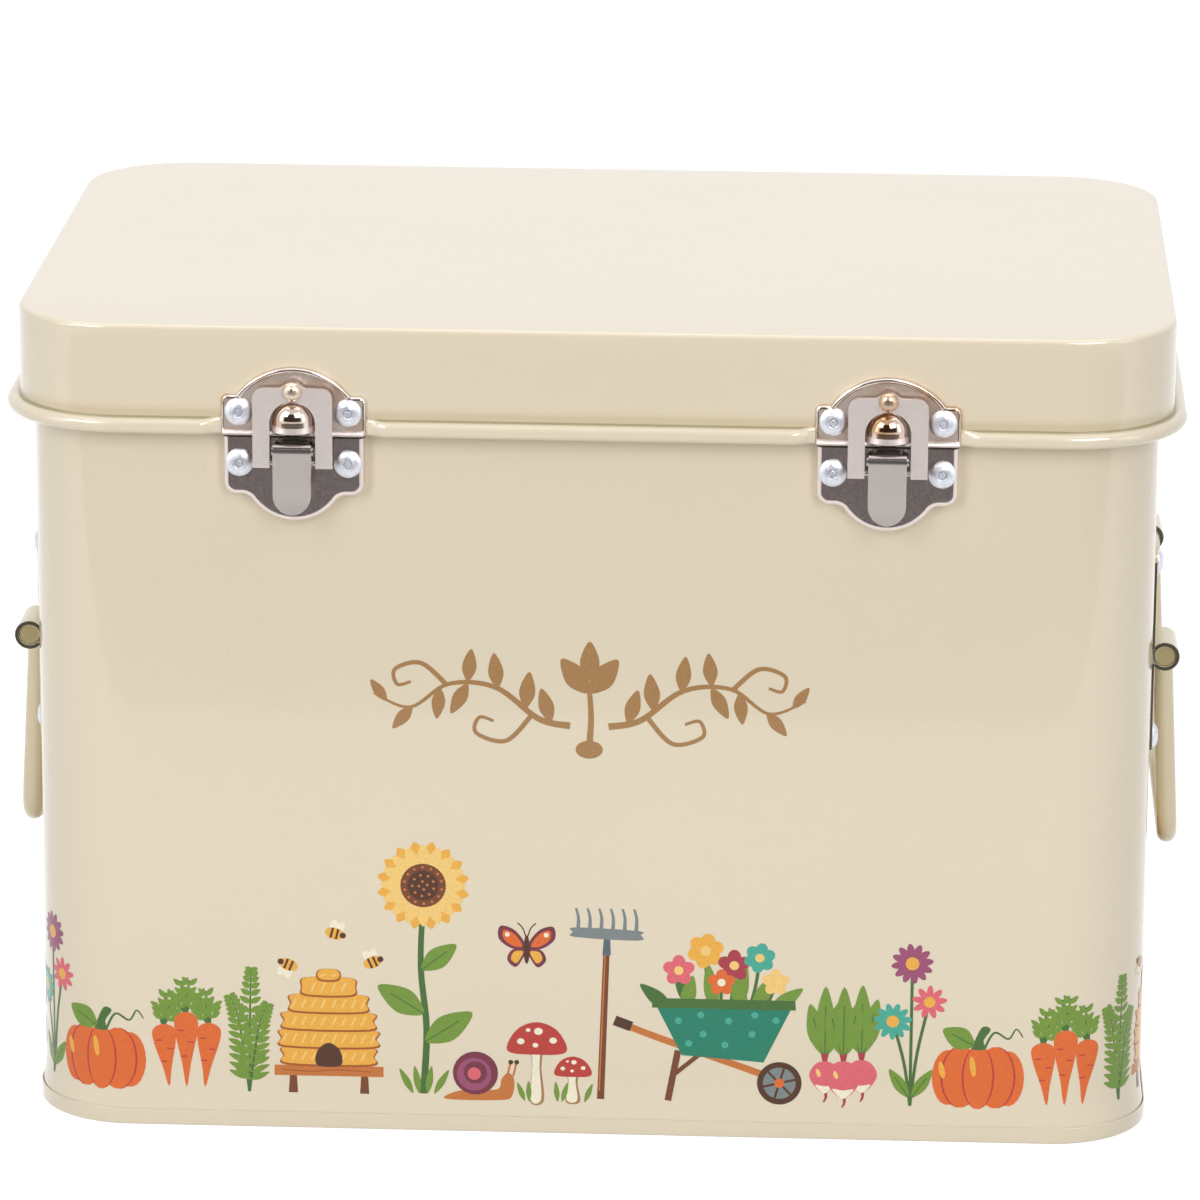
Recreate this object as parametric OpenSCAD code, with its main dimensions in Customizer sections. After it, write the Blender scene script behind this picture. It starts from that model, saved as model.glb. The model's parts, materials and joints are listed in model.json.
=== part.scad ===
// Tin box for seed packets: a lipped lid on a rear hinge, two toggle latches in front,
// a drop handle on each end, and a partition with divider cards inside.
// Millimetres. X is the width, -Y is the front, +Z is up, and the box stands on Z = 0.

/* [Lid] */
// Width of the lid over its skirt
lid_w = 270; // [230:1:330]
// Depth of the lid over its skirt
lid_d = 180; // [150:1:230]
// Corner radius of the lid seen from above
lid_corner_r = 25.6; // [18:0.2:36]
// Height of the whole box
box_h = 196.6; // [170:0.2:240]
// Radius of the lid's pressed top edge
lid_edge_r = 1.8; // [1.2:0.1:3]
// Height of the lid's lower lip above the floor
lip_z = 171.1; // [150:0.1:190]
// Radius of the rolled bead along the lid's lower lip
bead_r = 1.8; // [1.2:0.1:2.4]
// Thickness left where the bead is pinched flat under a plate
pinch_t = 0.6; // [0.4:0.1:1]

/* [Tub] */
// Thickness of the tinplate
sheet_t = 0.8; // [0.5:0.05:1.1]
// How far the tub stands inside the lid's skirt
tub_inset = 3.4; // [3.3:0.1:4.5]
// Radius of the inward curl along the tub's rim
curl_r = 1.35; // [1:0.05:1.8]
// Space between the closed lid and the rim
rim_gap = 0.3; // [0.1:0.05:0.6]
// Height of the seam that joins the base to the wall
seam_h = 4; // [3:0.1:6]
// How far the wall's foot flares out above the seam
foot_out = 0.9; // [0.5:0.1:1.4]
// Height of that flare
foot_h = 10; // [6:0.5:16]
// How far the seam stands out from the wall's foot
seam_out = 0.4; // [0.4:0.1:1.2]
// Radius of the seam's rounded edges
seam_round = 0.3; // [0.1:0.1:0.3]
// Height of the base panel's underside above the floor
base_rise = 2.6; // [1.5:0.1:3.5]
// Width of the folded seam down the back of the wall
side_seam_w = 5; // [3:0.5:8]
// How far that seam stands out
side_seam_t = 0.5; // [0.3:0.1:0.8]

/* [Latches] */
// Distance from the middle of the box to each latch
latch_x = 68.5; // [50:0.5:90]
// Half the width of the plate on the lid
catch_half_w = 16.8; // [14:0.1:19]
// Radius of the domed top of that plate
catch_dome_r = 16.3; // [14:0.1:18]
// Height of that plate's square shoulders above the seam between the plates
catch_shoulder_h = 9.6; // [8:0.1:12]
// Half the width of the plate on the tub
base_half_w = 16.3; // [15.6:0.1:19]
// Depth of that plate's shoulders below the seam
base_shoulder_h = 14.3; // [12:0.1:16]
// Radius of the lobe at the foot of that plate
base_lobe_r = 12; // [10:0.1:12.4]
// Depth of the foot of that lobe below the seam
base_lobe_h = 20.5; // [18:0.1:23]
// Radius of the hollow between the shoulders and that lobe
base_fillet_r = 3; // [1:0.1:3.4]
// Thickness of the latch plates
plate_t = 0.8; // [0.5:0.05:1]
// Corner radius of the latch plates
plate_corner_r = 3; // [2:0.1:4]
// Radius of the rolled edge of the tub's plate
base_roll_r = 1.4; // [1.1:0.1:1.8]
// Radius of the rolled edge of the lid's plate
catch_roll_r = 1; // [0.9:0.1:1.1]
// Radius of the raised rim round the lid plate's dome
dome_rim_r = 0.6; // [0.4:0.1:0.8]
// Half the gap between the two plates
plate_gap = 0.45; // [0.2:0.05:0.8]
// How far the tub's plate lies behind the lid's plate
plate_step = 0.5; // [0:0.1:1]
// Half the width of the hood that the loop hooks over
hood_r = 4.8; // [4:0.1:5]
// Height of the hood's open mouth above the seam
hood_foot_z = 1.6; // [1.2:0.1:2.5]
// Height of the centre of the hood's round top above the seam
hood_z = 4; // [3:0.1:5]
// Radius of the rounded lip along the foot of the lid's plate
catch_lip_r = 1.1; // [0.8:0.1:1.2]
// How far the hood's foot flares out beyond its sides
hood_flare = 0.2; // [0.1:0.05:0.2]
// Height of that flare
hood_flare_h = 1.4; // [0.8:0.1:2]
// Width of the pressed ledge round the hood
ledge_w = 1.1; // [0.6:0.1:1.3]
// Height of that ledge
ledge_h = 0.6; // [0.3:0.1:0.8]
// Height of the lever's pivot below the seam
pivot_drop = 2.9; // [2.6:0.05:3.4]
// Distance of that pivot in front of the tub's plate
pivot_out = 2.7; // [2.65:0.05:3.2]
// Distance between the lever's pivot and the loop's pin
crank_r = 3; // [2.8:0.05:3.4]
// How far the loop's pin lies inside the pivot when the latch is shut
overcentre = 0.6; // [0.3:0.05:0.8]
// Radius of the lever's pivot pin
pivot_pin_r = 0.7; // [0.5:0.05:0.8]
// Radius of the loop's pin
loop_pin_r = 0.6; // [0.4:0.05:0.7]
// Radial play of the pins in their bores
pin_play = 0.05; // [0.02:0.01:0.08]
// Half the width of the lever
lever_half_w = 4.4; // [4:0.1:4.6]
// Length of the lever below its pivot
lever_len = 14.4; // [12:0.1:16]
// Distance of the lever's face in front of its pivot
lever_face = 2.5; // [2.4:0.05:2.6]
// Thickness of the lever's metal
lever_t = 0.7; // [0.5:0.05:0.8]
// Radius of the lever's rolled top edge
lever_roll_r = 0.9; // [0.8:0.05:0.95]
// Radius of the outward sweep of the lever's lower end
lever_sweep_r = 40; // [25:1:80]
// Half the width of the loop
loop_half_w = 9.2; // [8.6:0.1:9.6]
// Half the width of the opening in the loop
loop_gap_half_w = 5.3; // [5.2:0.05:5.5]
// Height of the loop's shoulders above the seam
loop_top = 12; // [11:0.1:14]
// Radius of the nib at the top of the loop
nib_r = 3.2; // [2.6:0.1:3.6]
// Height of the nib above the shoulders
nib_h = 1.4; // [0.8:0.1:1.8]
// Radius of the hollows beside the nib
nib_fillet_r = 1.6; // [1:0.1:2]
// Thickness of the loop
loop_t = 1.2; // [1:0.05:1.3]
// Space between the loop's back and the tub's plate
loop_out = 2; // [1.9:0.05:2.4]

/* [Handles] */
// Height of the handles' pivots above the floor
handle_z = 113; // [90:1:125]
// Radius of the handle's wire
wire_r = 2.4; // [2:0.1:2.8]
// Drop of the handle's bar below its pivots
handle_drop = 51.2; // [40:0.2:60]
// Half the length of the handle over its straps
handle_half_l = 60.5; // [50:0.5:61]
// Width of each strap
strap_w = 14; // [11:0.5:18]
// Half the height of each strap
strap_half_h = 26; // [25:0.5:32]
// Thickness of the straps
strap_t = 0.9; // [0.7:0.05:1.1]
// Distance of the handle's pivot outside the wall
wire_out = 3.2; // [3:0.05:4]
// Bend radius at the top of the handle's legs
leg_bend_r = 4; // [3:0.1:6]
// Bend radius at the ends of the handle's bar
bar_bend_r = 7; // [5:0.5:12]
// How far the handles hang out from the walls, in degrees
handle_rest = 3; // [0:0.5:5]
// Distance of the strap's rivets from the pivot
strap_rivet = 21.5; // [15:0.5:22]

/* [Hinges] */
// Distance from the middle of the box to each hinge
hinge_x = 72; // [50:1:85]
// Width of each hinge
hinge_w = 40; // [30:1:50]
// Width of the hinge's middle knuckle
hinge_mid_w = 14; // [10:0.5:18]
// Outer radius of the hinge's knuckles
knuckle_r = 2.2; // [2:0.05:2.3]
// Radius of the hinge pin
hinge_pin_r = 1.1; // [0.9:0.05:1.2]
// Height of the hinge's axis below the lid's lip
hinge_drop = 2.5; // [2.4:0.05:4]
// Distance of the hinge's axis behind the lid's skirt
hinge_out = 2.6; // [2.5:0.05:3.2]
// Thickness of the hinge leaves
leaf_t = 0.9; // [0.7:0.05:1]
// Height of the lid's leaf above the lip
leaf_up = 15; // [13:0.5:18]
// Height of the tub's leaf below the lip
leaf_down = 28; // [22:0.5:40]
// Space beside each knuckle
knuckle_gap = 0.3; // [0.15:0.05:0.6]

/* [Rivets] */
// Radius of a rivet's head
head_r = 3.25; // [2.6:0.05:3.3]
// Height of a rivet's head
head_h = 1.7; // [1.2:0.05:1.8]
// Radius of a rivet's shank
shank_r = 1.6; // [1.2:0.05:1.8]
// Radius of a rivet's swollen tail inside the box
tail_r = 2.4; // [2:0.05:2.8]
// Height of that tail
tail_h = 1.4; // [0.8:0.1:2]
// Height of the flat clinched tails inside the lid's skirt
lid_tail_h = 0.5; // [0.3:0.05:0.6]
// Distance of the latch rivets from the latch's middle
latch_rivet_x = 12.6; // [11:0.1:13]
// Height of the upper rivets above the seam between the latch plates
latch_rivet_up = 5.8; // [5:0.1:6.4]
// Depth of the lower rivets below that seam
latch_rivet_down = 6.4; // [5:0.1:8]
// Distance of the hinge rivets from the hinge's middle
hinge_rivet_x = 12; // [9:0.5:13]

/* [Inside] */
// Height of the partition and of the cards' shoulders above the base panel
card_h = 140; // [110:1:160]
// Height of a card's tab above its shoulder
tab_h = 10; // [6:0.5:14]
// Width of a card's tab
tab_w = 24; // [16:1:28]
// Thickness of the cards
card_t = 0.9; // [0.5:0.1:1.5]
// Spacing of the cards along the box
card_pitch = 62; // [40:1:70]
// Play between the inner pieces and the walls
inner_gap = 0.4; // [0.2:0.05:1]
// Length of the partition's folded feet
foot_l = 12; // [8:0.5:16]
// Radius of the finger scoop in the partition's top edge
scoop_r = 30; // [20:1:50]
// Depth of the finger scoop
scoop_h = 9; // [5:0.5:14]

/* [Hidden] */
$fn = 96;
pin_fn = 48;
// Overlap that makes a cut pass through a face
eps = 0.5;
// Length of the drill that bores a rivet hole, and its play over the shank
bore_l = 30;
rivet_play = 0.05;
// The recess that a pulled rivet's mandrel leaves in its head
mandrel_r = 0.9;
mandrel_depth = 0.5;
sides = ["left", "right"];
ends = ["front", "rear"];
card_ids = [1, 2, 3];

// Colours
cream = [0.87, 0.83, 0.70];
nickel = [0.62, 0.60, 0.59];
steel = [0.45, 0.43, 0.42];
aluminium = [0.85, 0.86, 0.88];
card_blue = [0.50, 0.62, 0.60];

// Tub, measured over its wall
tub_w = lid_w - 2 * tub_inset;
tub_d = lid_d - 2 * tub_inset;
tub_corner_r = lid_corner_r - tub_inset;
groove_z = sheet_t;
base_top = base_rise + sheet_t;
foot_top_z = seam_h + foot_h;
foot_r = (foot_h * foot_h + foot_out * foot_out) / (2 * foot_out);
rim_z = box_h - sheet_t - rim_gap;
curl_z = rim_z - curl_r;

// Lid
bead_z = lip_z + bead_r;
bead_off = bead_r - sheet_t;
bead_end_a = 360 + acos(-bead_off / bead_r);

// Latches, in front of the tub: y is measured from the tub's middle, z from the seam
seam_z = lip_z - plate_gap / 2;
catch_back_y = -(lid_d / 2 + pinch_t);
catch_face_y = catch_back_y - plate_t;
base_face_y = catch_face_y + plate_step;
tub_front_y = -tub_d / 2;
base_lobe_z = base_lobe_r - base_lobe_h;
base_fillet_z = -base_shoulder_h - base_fillet_r;
base_fillet_d = base_lobe_r + base_fillet_r;
base_fillet_x = sqrt(pow(base_fillet_d, 2) - pow(base_fillet_z - base_lobe_z, 2));
base_fillet_a = atan2(base_lobe_z - base_fillet_z, base_fillet_x);
// How far the rolled edges run on into each other
lap = 0.02;
lap_a = 1;
catch_corner_r = plate_corner_r / 2;
lever_turn_gap = 0.6;
pivot_y = base_face_y - pivot_out;
pivot_z = -pivot_drop;
loop_pin_y = pivot_y + overcentre;
loop_pin_z = pivot_z - sqrt(crank_r * crank_r - overcentre * overcentre);
lever_top = lever_face - lever_turn_gap;
lever_bend = 6;
lever_room = 4;
lever_flange_t = lever_t;
ear_t = 0.9;
ear_gap = 0.2;
ear_x = lever_half_w - lever_flange_t - ear_gap - ear_t;
ear_stand = 1.1;
ear_r = pivot_out - ear_stand;
ear_up = 1.15;
loop_back_y = base_face_y - loop_out;
loop_ear_t = 0.9;
loop_ear_r = 1.05;
loop_corner_r = 2.5;
loop_seat = 0.3;
hood_over_loop = sqrt(hood_r * hood_r - pow(loop_out - plate_step, 2));
loop_crown_z = hood_z + hood_over_loop + loop_seat;
dimple_r = 2.4;
nib_z = loop_top + nib_h - nib_r;
nib_fillet_z = loop_top + nib_fillet_r;
nib_fillet_x = sqrt(pow(nib_r + nib_fillet_r, 2) - pow(nib_fillet_z - nib_z, 2));
dimple_z = loop_crown_z + dimple_r;
pin_head_t = 0.4;
pin_head_extra = 0.4;
lever_tip_flare = lever_sweep_r - sqrt(pow(lever_sweep_r, 2) - pow(lever_len - lever_bend, 2));
front_reach = -(pivot_y - lever_face - lever_tip_flare);

// Handles
wall_x = tub_w / 2;
wire_x = wall_x + wire_out;
strap_bore_r = wire_r + 0.08;
strap_ring_r = strap_bore_r + strap_t + 0.1;
strap_y = handle_half_l - strap_w / 2;
leg_y = handle_half_l - strap_w - 0.2 - leg_bend_r;
wire_end_in = 0.8;
strap_corner_r = 3;
strap_mouth_h = 1.5 * wire_r;

// Hinges
hinge_y = lid_d / 2 + hinge_out;
hinge_z = lip_z - hinge_drop;
lid_leaf_y = lid_d / 2 + pinch_t;
rear_reach = hinge_y + knuckle_r;
leaf_corner_r = 3;
leaf_rivet_in_top = 5.5;
leaf_rivet_in_foot = 6;
leaf_arm_drop = 5;

// The box's middle lies where its overall depth is centred on the origin
shift_y = (front_reach - rear_reach) / 2;

// Inside
bay_half_w = wall_x - sheet_t - inner_gap;
bay_d = tub_d / 2 - sheet_t - sheet_t / 2 - 2 * inner_gap;
bay_y = sheet_t / 2 + inner_gap + bay_d / 2;

module placed() {
    translate([0, shift_y, 0]) children();
}

// The sign of a side or an end: left and front are negative
function sign_of(name) = name == "left" || name == "front" ? -1 : 1;

function arc(r, from, to, steps) =
    [for (i = [0:steps]) let (a = from + (to - from) * i / steps) r * [cos(a), sin(a)]];

function moved(points, by) = [for (p = points) p + by];

// A 2D profile (outward, up) swept round a rectangle with rounded corners
module swept_round(w, d, r) {
    for (turn = [0, 90, 180, 270]) {
        across = turn % 180 == 0 ? w : d;
        along = turn % 180 == 0 ? d : w;
        rotate(turn) {
            translate([across / 2, along / 2 - r, 0])
                rotate([90, 0, 0]) linear_extrude(along - 2 * r) children();
            translate([across / 2 - r, along / 2 - r, 0])
                rotate_extrude(angle = 90) translate([r, 0]) children();
        }
    }
}

module rounded_rect(w, d, r) {
    square([w, d - 2 * r], center = true);
    square([w - 2 * r, d], center = true);
    for (x = [-1, 1], y = [-1, 1])
        translate([x * (w / 2 - r), y * (d / 2 - r)]) circle(r);
}

// A 2D shape (x, z) between two depths, the first one in front
module slab(y_front, y_back) {
    translate([0, y_back, 0]) rotate([90, 0, 0]) linear_extrude(y_back - y_front) children();
}

// A 2D shape (y, z) between two widths
module bar(x_from, x_to) {
    translate([x_from, 0, 0]) rotate([90, 0, 90]) linear_extrude(x_to - x_from) children();
}

// Stands what is drawn on the floor up to face the front, with its top at y
module standing(y) {
    translate([0, y, 0]) rotate([90, 0, 0]) children();
}

// A profile (outward, up) swept along a line, with outward on the left of the way
module swept_line(from, to) {
    way = to - from;
    translate(from) rotate(atan2(way[1], way[0]))
        rotate([90, 0, 90]) linear_extrude(norm(way)) children();
}

// The same profile swept round a corner, or round a hollow, where outward is towards the centre
module swept_arc(centre, radius, from, to, hollow = false) {
    translate(centre) rotate(from) rotate_extrude(angle = to - from)
        translate([radius, 0]) mirror([hollow ? 1 : 0, 0]) children();
}

// The section of a sheet that rolls back at a plate's edge and stands on what is behind it
module rolled_edge(r, depth) {
    inner = r - plate_t;
    polygon(concat(
        [[0, -depth]],
        moved(arc(r, 0, 90, 8), [-r, -r]),
        moved(arc(inner, 90, 0, 6), [-r, -r]),
        [[-plate_t, -depth]]
    ));
}

module on_both_sides() {
    for (side = [0, 1]) mirror([side, 0, 0]) children();
}

module pin_x(r, x_from, x_to) {
    translate([x_from, 0, 0]) rotate([0, 90, 0]) cylinder(r = r, h = x_to - x_from, $fn = pin_fn);
}

// A rivet whose head stands on y = 0 towards the front and grips what lies behind it
module rivet(grip, tail = tail_h) {
    cap_r = (head_r * head_r + head_h * head_h) / (2 * head_h);
    rotate([90, 0, 0]) {
        difference() {
            intersection() {
                translate([0, 0, head_h - cap_r]) sphere(cap_r);
                cylinder(r = head_r + 1, h = head_h + 1, $fn = pin_fn);
            }
            translate([0, 0, head_h - mandrel_depth])
                cylinder(r = mandrel_r, h = 2 * mandrel_depth, $fn = pin_fn);
        }
        translate([0, 0, -grip - tail / 2]) cylinder(r = shank_r, h = grip + tail / 2, $fn = pin_fn);
        translate([0, 0, -grip - tail]) cylinder(r = tail_r, h = tail, $fn = pin_fn);
    }
}

module rivet_hole() {
    rotate([90, 0, 0])
        cylinder(r = shank_r + rivet_play, h = bore_l, center = true, $fn = pin_fn);
}

// Places of the rivets
module at_latches() {
    for (s = sides) translate([sign_of(s) * latch_x, 0, seam_z]) children();
}

module at_catch_rivets() {
    for (x = [-1, 1]) translate([x * latch_rivet_x, 0, latch_rivet_up]) children();
}

module at_base_rivets() {
    for (x = [-1, 1]) translate([x * latch_rivet_x, 0, -latch_rivet_down]) children();
}

module at_hinges() {
    for (s = sides) translate([sign_of(s) * hinge_x, 0, 0]) children();
}

module at_lid_leaf_rivets() {
    for (x = [-1, 1]) translate([x * hinge_rivet_x, 0, lip_z + leaf_up - leaf_rivet_in_top]) children();
}

module at_tub_leaf_rivets() {
    for (x = [-1, 1]) translate([x * hinge_rivet_x, 0, lip_z - leaf_down + leaf_rivet_in_foot]) children();
}

// Stands a child that faces the front on one end wall, at one strap's place
module at_strap(side, end) {
    translate([sign_of(side) * wall_x, sign_of(end) * strap_y, handle_z])
        rotate(sign_of(side) * 90) children();
}

module at_strap_rivets() {
    for (z = [-1, 1]) translate([0, 0, z * strap_rivet]) children();
}

// Tub
module tub_wall() {
    curl = moved(arc(curl_r, 0, 360 - acos((curl_r - sheet_t) / curl_r), 20), [-curl_r, curl_z]);
    flare = moved(arc(foot_r, 180 + asin(foot_h / foot_r), 180, 10), [foot_r, foot_top_z]);
    inner_flare = [for (i = [len(flare) - 1:-1:0]) flare[i] - [sheet_t, 0]];
    color(cream) difference() {
        union() {
            swept_round(tub_w, tub_d, tub_corner_r) polygon(concat(
                [[foot_out, groove_z]],
                flare,
                curl,
                inner_flare,
                [[foot_out - sheet_t, groove_z]]
            ));
            translate([0, tub_d / 2, foot_top_z])
                linear_extrude(lip_z - bead_r - foot_top_z) side_seam();
        }
        at_latches() at_base_rivets() rivet_hole_front(tub_d);
        at_hinges() at_tub_leaf_rivets() rivet_hole_rear(tub_d);
        for (s = sides, e = ends) at_strap(s, e) at_strap_rivets() rivet_hole();
    }
}

// The folded seam where the wall's two ends lock together, seen from above
module side_seam() {
    polygon([
        [-side_seam_w / 2, -sheet_t / 2],
        [-side_seam_w / 2, 0],
        [side_seam_t - side_seam_w / 2, side_seam_t],
        [side_seam_w / 2 - side_seam_t, side_seam_t],
        [side_seam_w / 2, 0],
        [side_seam_w / 2, -sheet_t / 2]
    ]);
}

module rivet_hole_front(d) {
    translate([0, -d / 2, 0]) rivet_hole();
}

module rivet_hole_rear(d) {
    translate([0, d / 2, 0]) rivet_hole();
}

// Base panel with the double seam that closes over the wall's lower edge
module base_pan() {
    out = foot_out + seam_out;
    inner = foot_out - sheet_t;
    fold = inner - sheet_t;
    color(cream) {
        swept_round(tub_w, tub_d, tub_corner_r) polygon(concat(
            [[fold, 0]],
            moved(arc(seam_round, -90, 0, 6), [out - seam_round, seam_round]),
            moved(arc(seam_round, 0, 90, 6), [out - seam_round, seam_h - seam_round]),
            [
                [foot_out, seam_h],
                [foot_out, groove_z],
                [inner, groove_z],
                [inner, base_top],
                [fold - 2 * sheet_t, base_top],
                [fold - 2 * sheet_t, base_rise],
                [fold, base_rise]
            ]
        ));
        inset = sheet_t - fold;
        translate([0, 0, base_rise])
            linear_extrude(sheet_t)
                rounded_rect(tub_w - 2 * inset, tub_d - 2 * inset, tub_corner_r - inset);
    }
}

// Lid
module lid_shell() {
    flange = lid_edge_r + 1.5;
    bead = moved(arc(bead_r, 180, bead_end_a, 28), [bead_off, bead_z]);
    edge = moved(arc(lid_edge_r, 0, 90, 8), [-lid_edge_r, box_h - lid_edge_r]);
    panel_inset = flange - eps;
    color(cream) difference() {
        union() {
            swept_round(lid_w, lid_d, lid_corner_r) polygon(concat(
                bead,
                edge,
                [[-flange, box_h], [-flange, box_h - sheet_t], [-sheet_t, box_h - sheet_t]]
            ));
            translate([0, 0, box_h - sheet_t])
                linear_extrude(sheet_t) rounded_rect(
                    lid_w - 2 * panel_inset,
                    lid_d - 2 * panel_inset,
                    lid_corner_r - panel_inset
                );
        }
        for (s = sides) {
            translate([sign_of(s) * latch_x, -lid_d / 2 - pinch_t, 0]) pinch(catch_half_w + eps);
            translate([sign_of(s) * hinge_x, lid_d / 2 + pinch_t + 2 * bead_r, 0])
                pinch(hinge_w / 2 + eps);
        }
        at_latches() at_catch_rivets() rivet_hole_front(lid_d);
        at_hinges() at_lid_leaf_rivets() rivet_hole_rear(lid_d);
    }
}

// What is pressed away from the bead under a plate, in front of its origin
module pinch(half_w) {
    translate([-half_w, -2 * bead_r, lip_z - 1]) cube([2 * half_w, 2 * bead_r, 2 * bead_r + 2]);
}

// Latch plate on the lid, with its hood
module catch_outline(inset) {
    corner = catch_corner_r;
    half_w = catch_half_w - inset;
    intersection() {
        circle(catch_dome_r - inset);
        translate([-catch_dome_r, plate_gap]) square([2 * catch_dome_r, catch_dome_r]);
    }
    translate([-half_w, plate_gap])
        square([2 * half_w, catch_shoulder_h - corner - plate_gap]);
    translate([corner - catch_half_w, plate_gap])
        square([2 * (catch_half_w - corner), catch_shoulder_h - inset - plate_gap]);
    for (x = [-1, 1])
        translate([x * (catch_half_w - corner), catch_shoulder_h - corner]) circle(corner - inset);
}

module catch_tray() {
    shoulder = catch_shoulder_h;
    corner = [catch_half_w - catch_corner_r, shoulder - catch_corner_r];
    dome_a = asin(shoulder / catch_dome_r);
    depth = -lid_d / 2 - catch_face_y;
    standing(catch_face_y) {
        translate([0, 0, -plate_t]) linear_extrude(plate_t) catch_outline(catch_roll_r);
        on_both_sides() {
            swept_line([catch_half_w, corner[1]], [catch_half_w, plate_gap])
                rolled_edge(catch_roll_r, depth);
            swept_arc(corner, catch_corner_r, 0, 90) rolled_edge(catch_roll_r, depth);
            swept_line([catch_dome_r * cos(dome_a), shoulder], [corner[0], shoulder])
                rolled_edge(catch_roll_r, depth);
            swept_arc([0, 0], catch_dome_r, dome_a, 90) rolled_edge(catch_roll_r, depth);
            rotate(dome_a) rotate_extrude(angle = 90 - dome_a)
                translate([catch_dome_r - dome_rim_r, 0]) circle(dome_rim_r, $fn = 32);
        }
    }
}

// A dome over a round post, seen from the front as an arch
module hood_form(r, foot_z) {
    translate([0, catch_face_y, hood_z]) sphere(r);
    translate([0, catch_face_y, foot_z]) cylinder(r = r, h = hood_z - foot_z);
}

module latch_catch() {
    lip_half_w = catch_half_w - catch_roll_r / 2;
    ledge_r = hood_r + ledge_w;
    color(nickel) difference() {
        union() {
            difference() {
                catch_tray();
                slab(-lid_d / 2 - pinch_t, -lid_d / 2 + 1)
                    translate([-catch_half_w - 1, -1]) square([2 * catch_half_w + 2, 2 * bead_r + 2]);
            }
            bar(-lip_half_w, lip_half_w) intersection() {
                translate([catch_face_y, plate_gap]) circle(catch_lip_r);
                translate([catch_face_y - catch_lip_r, plate_gap])
                    square([catch_lip_r + plate_t / 2, catch_lip_r]);
            }
            slab(catch_face_y - ledge_h, catch_face_y + plate_t / 2) intersection() {
                union() {
                    translate([0, hood_z]) circle(ledge_r);
                    translate([-ledge_r, 0]) square([2 * ledge_r, hood_z]);
                }
                translate([-ledge_r, hood_foot_z]) square(2 * ledge_r);
            }
            intersection() {
                union() {
                    hood_form(hood_r, hood_foot_z);
                    translate([0, catch_face_y, hood_foot_z])
                        cylinder(r1 = hood_r + hood_flare, r2 = hood_r, h = hood_flare_h);
                }
                translate([-hood_r - 1, catch_face_y - hood_r - 1, hood_foot_z])
                    cube([2 * hood_r + 2, hood_r + 1 + plate_t / 2, 2 * hood_r]);
            }
        }
        // The hood is pressed from the plate and open below
        hood_form(hood_r - plate_t, hood_foot_z - 1);
        translate([0, -lid_d / 2, 0]) at_catch_rivets() rivet_hole();
    }
}

// Latch plate on the tub, with the ears that carry the lever
module base_outline(inset) {
    half_w = base_half_w - inset;
    corner = plate_corner_r - inset;
    foot = base_shoulder_h - inset;
    lobe_r = base_lobe_r - inset;
    touch = [lobe_r * cos(base_fillet_a), base_lobe_z - lobe_r * sin(base_fillet_a)];
    translate([-half_w, corner - foot]) square([2 * half_w, foot - corner - plate_gap]);
    translate([corner - half_w, -foot]) square([2 * (half_w - corner), foot - plate_gap]);
    for (x = [-1, 1]) translate([x * (half_w - corner), corner - foot]) circle(corner);
    intersection() {
        translate([0, base_lobe_z]) circle(lobe_r);
        translate([-base_lobe_r, -2 * base_lobe_r])
            square([2 * base_lobe_r, 2 * base_lobe_r - base_shoulder_h / 2]);
    }
    on_both_sides() difference() {
        polygon([
            [base_fillet_x, -foot],
            [base_fillet_x, base_fillet_z],
            touch,
            [touch[0] - 1, 1 - foot]
        ]);
        translate([base_fillet_x, base_fillet_z]) circle(base_fillet_r + inset);
    }
}

module base_tray() {
    foot = -base_shoulder_h;
    corner = [base_half_w - plate_corner_r, foot + plate_corner_r];
    depth = tub_front_y - base_face_y;
    standing(base_face_y) {
        translate([0, 0, -plate_t]) linear_extrude(plate_t) base_outline(base_roll_r);
        on_both_sides() {
            swept_line([base_half_w, -plate_gap], [base_half_w, corner[1]])
                rolled_edge(base_roll_r, depth);
            swept_arc(corner, plate_corner_r, -90, 0) rolled_edge(base_roll_r, depth);
            swept_line([corner[0], foot], [base_fillet_x, foot]) rolled_edge(base_roll_r, depth);
            // The hollow runs on a little way under the lobe's edge, so the two close up
            swept_arc([base_fillet_x, base_fillet_z], base_fillet_r + lap,
                    90, 180 + lap_a - base_fillet_a, true)
                rolled_edge(base_roll_r, depth);
            swept_arc([0, base_lobe_z], base_lobe_r, -90, -base_fillet_a)
                rolled_edge(base_roll_r, depth);
        }
    }
    slab(base_face_y, tub_front_y) translate([base_roll_r - base_half_w, -plate_gap - plate_t])
        square([2 * (base_half_w - base_roll_r), plate_t]);
}

module latch_base() {
    color(steel) {
        difference() {
            base_tray();
            translate([0, tub_front_y, 0]) at_base_rivets() rivet_hole();
        }
        for (side = [-1, 1]) translate([side * (ear_x + ear_t / 2), 0, 0]) difference() {
            bar(-ear_t / 2, ear_t / 2) {
                translate([pivot_y, pivot_z]) circle(ear_r, $fn = pin_fn);
                translate([pivot_y, pivot_z - ear_r])
                    square([base_face_y - pivot_y + plate_t / 2, ear_r + ear_up]);
            }
            translate([0, pivot_y, pivot_z]) pin_x(pivot_pin_r + pin_play, -ear_t, ear_t);
        }
    }
}

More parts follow.
